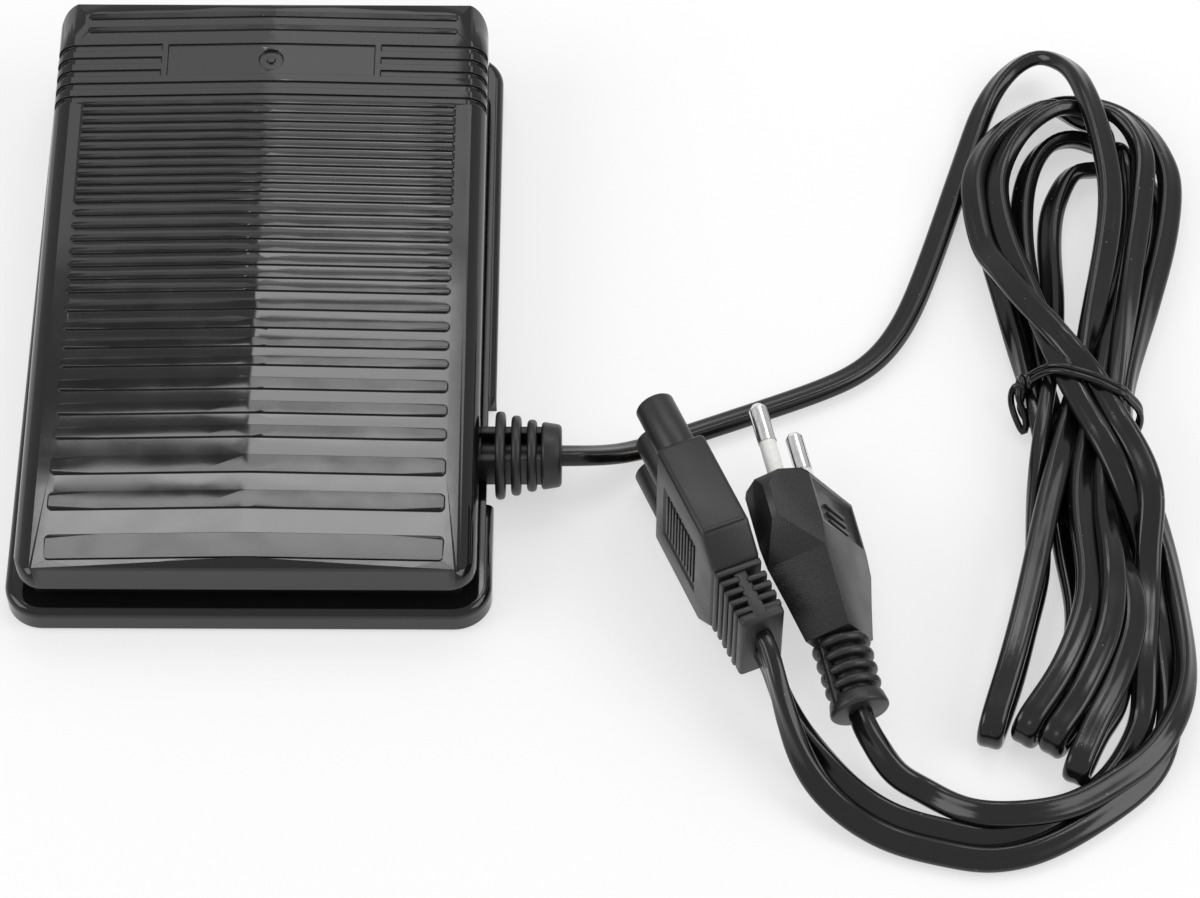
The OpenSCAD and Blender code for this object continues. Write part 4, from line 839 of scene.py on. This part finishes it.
soft_spring("return_spring_pair", "return_springs")
soft_spring("plunger_coil", "plunger_spring")

# %% [markdown]
# The base tray keeps its shape. A copy with its flat faces made whole gets the same rule for its normals,
# so that its rounded rim catches one thin line of light.

# %% Base tray
tray = bmesh.new()
tray.from_mesh(nodes["base_tray"].data)
bmesh.ops.remove_doubles(tray, verts=tray.verts[:], dist=0.002 * MM)
bmesh.ops.dissolve_limit(tray, angle_limit=math.radians(0.05), verts=tray.verts[:], edges=tray.edges[:])
base_shell = piece("base_shell", tray, gloss, sharp=32)
keep_flats(base_shell)
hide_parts("base_tray")
print("base shell faces", len(base_shell.data.polygons))

# %% [markdown]
# ## Ringed strain relief of the pedal
# A soft sleeve guards the cord where it leaves the base: three discs that get smaller outwards and a
# collar at the end. Between the discs only two thin webs hold it together, so it can bend. It lies along
# X, so it is built along Z and turned once.

# %% Strain relief
relief_place = Matrix.Translation((0, -37.5 * MM, 9.6 * MM)) @ Matrix.Rotation(math.radians(90), 4, "Y")
relief_bodies = [disc(43.0, 48.4, 4.4, edge=0.3), disc(42.0, 43.2, 5.6, edge=0.3), disc(47.5, 64.5, 2.9, edge=0.2)]
for k in range(3):
    start = 51.3 + 3.35 * k
    relief_bodies.append(disc(start, start + 2.1, 9.4 - 0.85 * k, edge=0.85))
for side in (-1, 1):
    relief_bodies.append(block((9.4, 1.9, 15.5), (0, side * 3.5, 54.8), 0.35))
relief_bodies.append(disc(61.05, 65.35, 7.3, 6.6, edge=0.8))
relief = piece("ringed_relief", put_together(relief_bodies, relief_place), satin)
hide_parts("strain_relief")
print("relief faces", len(relief.data.polygons))

# %% [markdown]
# ## Machine connector
# The connector is a flat body that stands on its narrow side, with three barrels in a row at the front
# and a slotted boot behind. Its long edges are rounded, and a sunk field with fine ribs on its side
# gives the fingers a hold. The field is cut into the side face with planes and sunk with an inset.

# %% Connector body
connector_place = Matrix.Translation((89.9 * MM, -49.6 * MM, 0)) @ Matrix.Rotation(math.radians(23.5), 4, "Z")
body = copy_of("machine_connector", connector_place)
soften(body, 1.1, angle=20)


def sunk_field(bm, side, low, high, depth):
    """Cuts a rectangle of Y and Z into the side face at X, and sinks it."""
    cuts = [((0, low[0], 0), (0, 1, 0)), ((0, high[0], 0), (0, 1, 0)), ((0, 0, low[1]), (0, 0, 1)),
            ((0, 0, high[1]), (0, 0, 1))]
    for point, normal in cuts:
        faces = [f for f in bm.faces if f.normal.x * side > 0.99]
        geom = set(faces)
        for face in faces:
            geom.update(face.edges)
            geom.update(face.verts)
        bmesh.ops.bisect_plane(bm, geom=list(geom), plane_co=[p * MM for p in point], plane_no=normal)
    bm.normal_update()
    field = [f for f in bm.faces if f.normal.x * side > 0.99
             and low[0] < f.calc_center_median().y / MM < high[0] and low[1] < f.calc_center_median().z / MM < high[1]]
    bmesh.ops.inset_region(bm, faces=field, thickness=0.45 * MM, depth=-depth * MM)


for side in (-1, 1):
    sunk_field(body, side, (-20.4, 7.6), (-4.2, 25.4), 0.45)
finger_ribs = [block((0.5, 0.6, 13.6), (side * 4.98, -5.9 - 1.44 * k, 16.4), 0.15)
               for side in (-1, 1) for k in range(10)]
lip = block((9.0, 0.9, 0.9), (0, -22.4, 33.45), 0.3)
connector = piece("connector_shell", put_together([body, lip] + finger_ribs, connector_place), satin)
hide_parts("machine_connector")
print("connector faces", len(connector.data.polygons))

# %% Connector barrels
def barrel(height):
    bm = disc(-0.6, 13.0, 4.2, edge=0.55)
    mouth = max(bm.faces, key=lambda f: f.calc_center_median().z)
    bmesh.ops.inset_region(bm, faces=[mouth], thickness=1.0 * MM)
    sunk = bmesh.ops.extrude_discrete_faces(bm, faces=[mouth])["faces"]
    bmesh.ops.translate(bm, vec=(0, 0, -11 * MM), verts=list(sunk[0].verts))
    bm.transform(Matrix.Translation((0, 0, height * MM)) @ Matrix.Rotation(math.radians(-90), 4, "X"))
    return bm


barrels = piece("connector_barrel_row", put_together([barrel(z) for z in (4.9, 16.9, 28.9)], connector_place),
                satin)
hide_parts("connector_barrels")
print("barrel faces", len(barrels.data.polygons))

# %% [markdown]
# The boot bends because it is slotted from both sides in turn: fins on the left and on the right of one
# central web, half a pitch apart, and a solid block at its end where both cords come out.

# %% Connector boot
boot_bodies = [block((2.8, 12.6, 20.0), (0, -35.2, 16.9), 0.3), block((10.2, 1.6, 21.4), (0, -29.6, 16.9), 0.5)]
for k in range(4):
    for side in (-1, 1):
        y = -31.9 - 2.35 * k - (0 if side < 0 else 0.9)
        boot_bodies.append(block((4.2, 1.45, 21.2 - 0.4 * k), (side * 2.85, y, 16.9), 0.45))
boot_bodies.append(block((9.6, 2.9, 19.8), (0, -41.05, 16.9), 0.9))
boot = piece("connector_fins", put_together(boot_bodies, connector_place), satin)
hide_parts("connector_boot")
print("boot faces", len(boot.data.polygons))

# %% [markdown]
# ## Mains plug
# The plug is a flat two-pin body with chamfered sides, narrowing to a ringed relief. It lies on its edge,
# so one chamfer looks up. Both broad faces have a sunk grip with short ribs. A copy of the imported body
# keeps every slant, and only its relief is cut off and made anew with round rings.

# %% Plug body
plug_place = (Matrix.Translation((114.8 * MM, -53.2 * MM, 17.5 * MM)) @ Matrix.Rotation(math.radians(13.7), 4, "Z")
              @ Matrix.Rotation(math.radians(6), 4, "X") @ Matrix.Rotation(math.radians(61.3), 4, "Y"))
plug_body = copy_of("mains_plug", plug_place)
everything = plug_body.verts[:] + plug_body.edges[:] + plug_body.faces[:]
bmesh.ops.bisect_plane(plug_body, geom=everything, plane_co=(0, -33.9 * MM, 0), plane_no=(0, -1, 0), clear_outer=True)
open_edges = [e for e in plug_body.edges if e.is_boundary]
bmesh.ops.holes_fill(plug_body, edges=open_edges, sides=0)
soften(plug_body, 1.3, angle=8, shortest=2.0)
plug_body.normal_update()
for side in (-1, 1):
    broad = [f for f in plug_body.faces if f.normal.z * side > 0.97 and f.calc_area() > 60 * MM * MM
             and f.calc_center_median().y > -19 * MM]
    bmesh.ops.inset_region(plug_body, faces=broad, thickness=1.4 * MM)
    bmesh.ops.inset_region(plug_body, faces=broad, thickness=0.8 * MM, depth=-0.8 * MM)
print("plug body faces", len(plug_body.faces))

# %% Plug relief and grip
plug_bodies = [plug_body]
for side in (-1, 1):
    for k in range(5):
        plug_bodies.append(block((9.5, 0.8, 0.9), (0, -6.5 - 1.9 * k, side * 6.7), 0.25))
turn_back = Matrix.Rotation(math.radians(90), 4, "X")
rings = [disc(33.0, 50.0, 4.0, edge=0.2)]
for k in range(4):
    rings.append(disc(34.4 + 3.1 * k, 36.4 + 3.1 * k, 6.2 - 0.1 * k, edge=0.9))
rings.append(disc(46.6, 50.4, 5.6, 6.4, edge=0.9))
web = block((1.8, 1.4, 15), (0, 0, 41), 0.3)
web.transform(Matrix.Rotation(math.radians(-151), 4, "Z") @ Matrix.Translation((5.2 * MM, 0, 0)))
plug_bodies.append(put_together(rings + [web], turn_back))
plug = piece("plug_shell", put_together(plug_bodies, plug_place), grained)
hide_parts("mains_plug")
print("plug faces", len(plug.data.polygons))
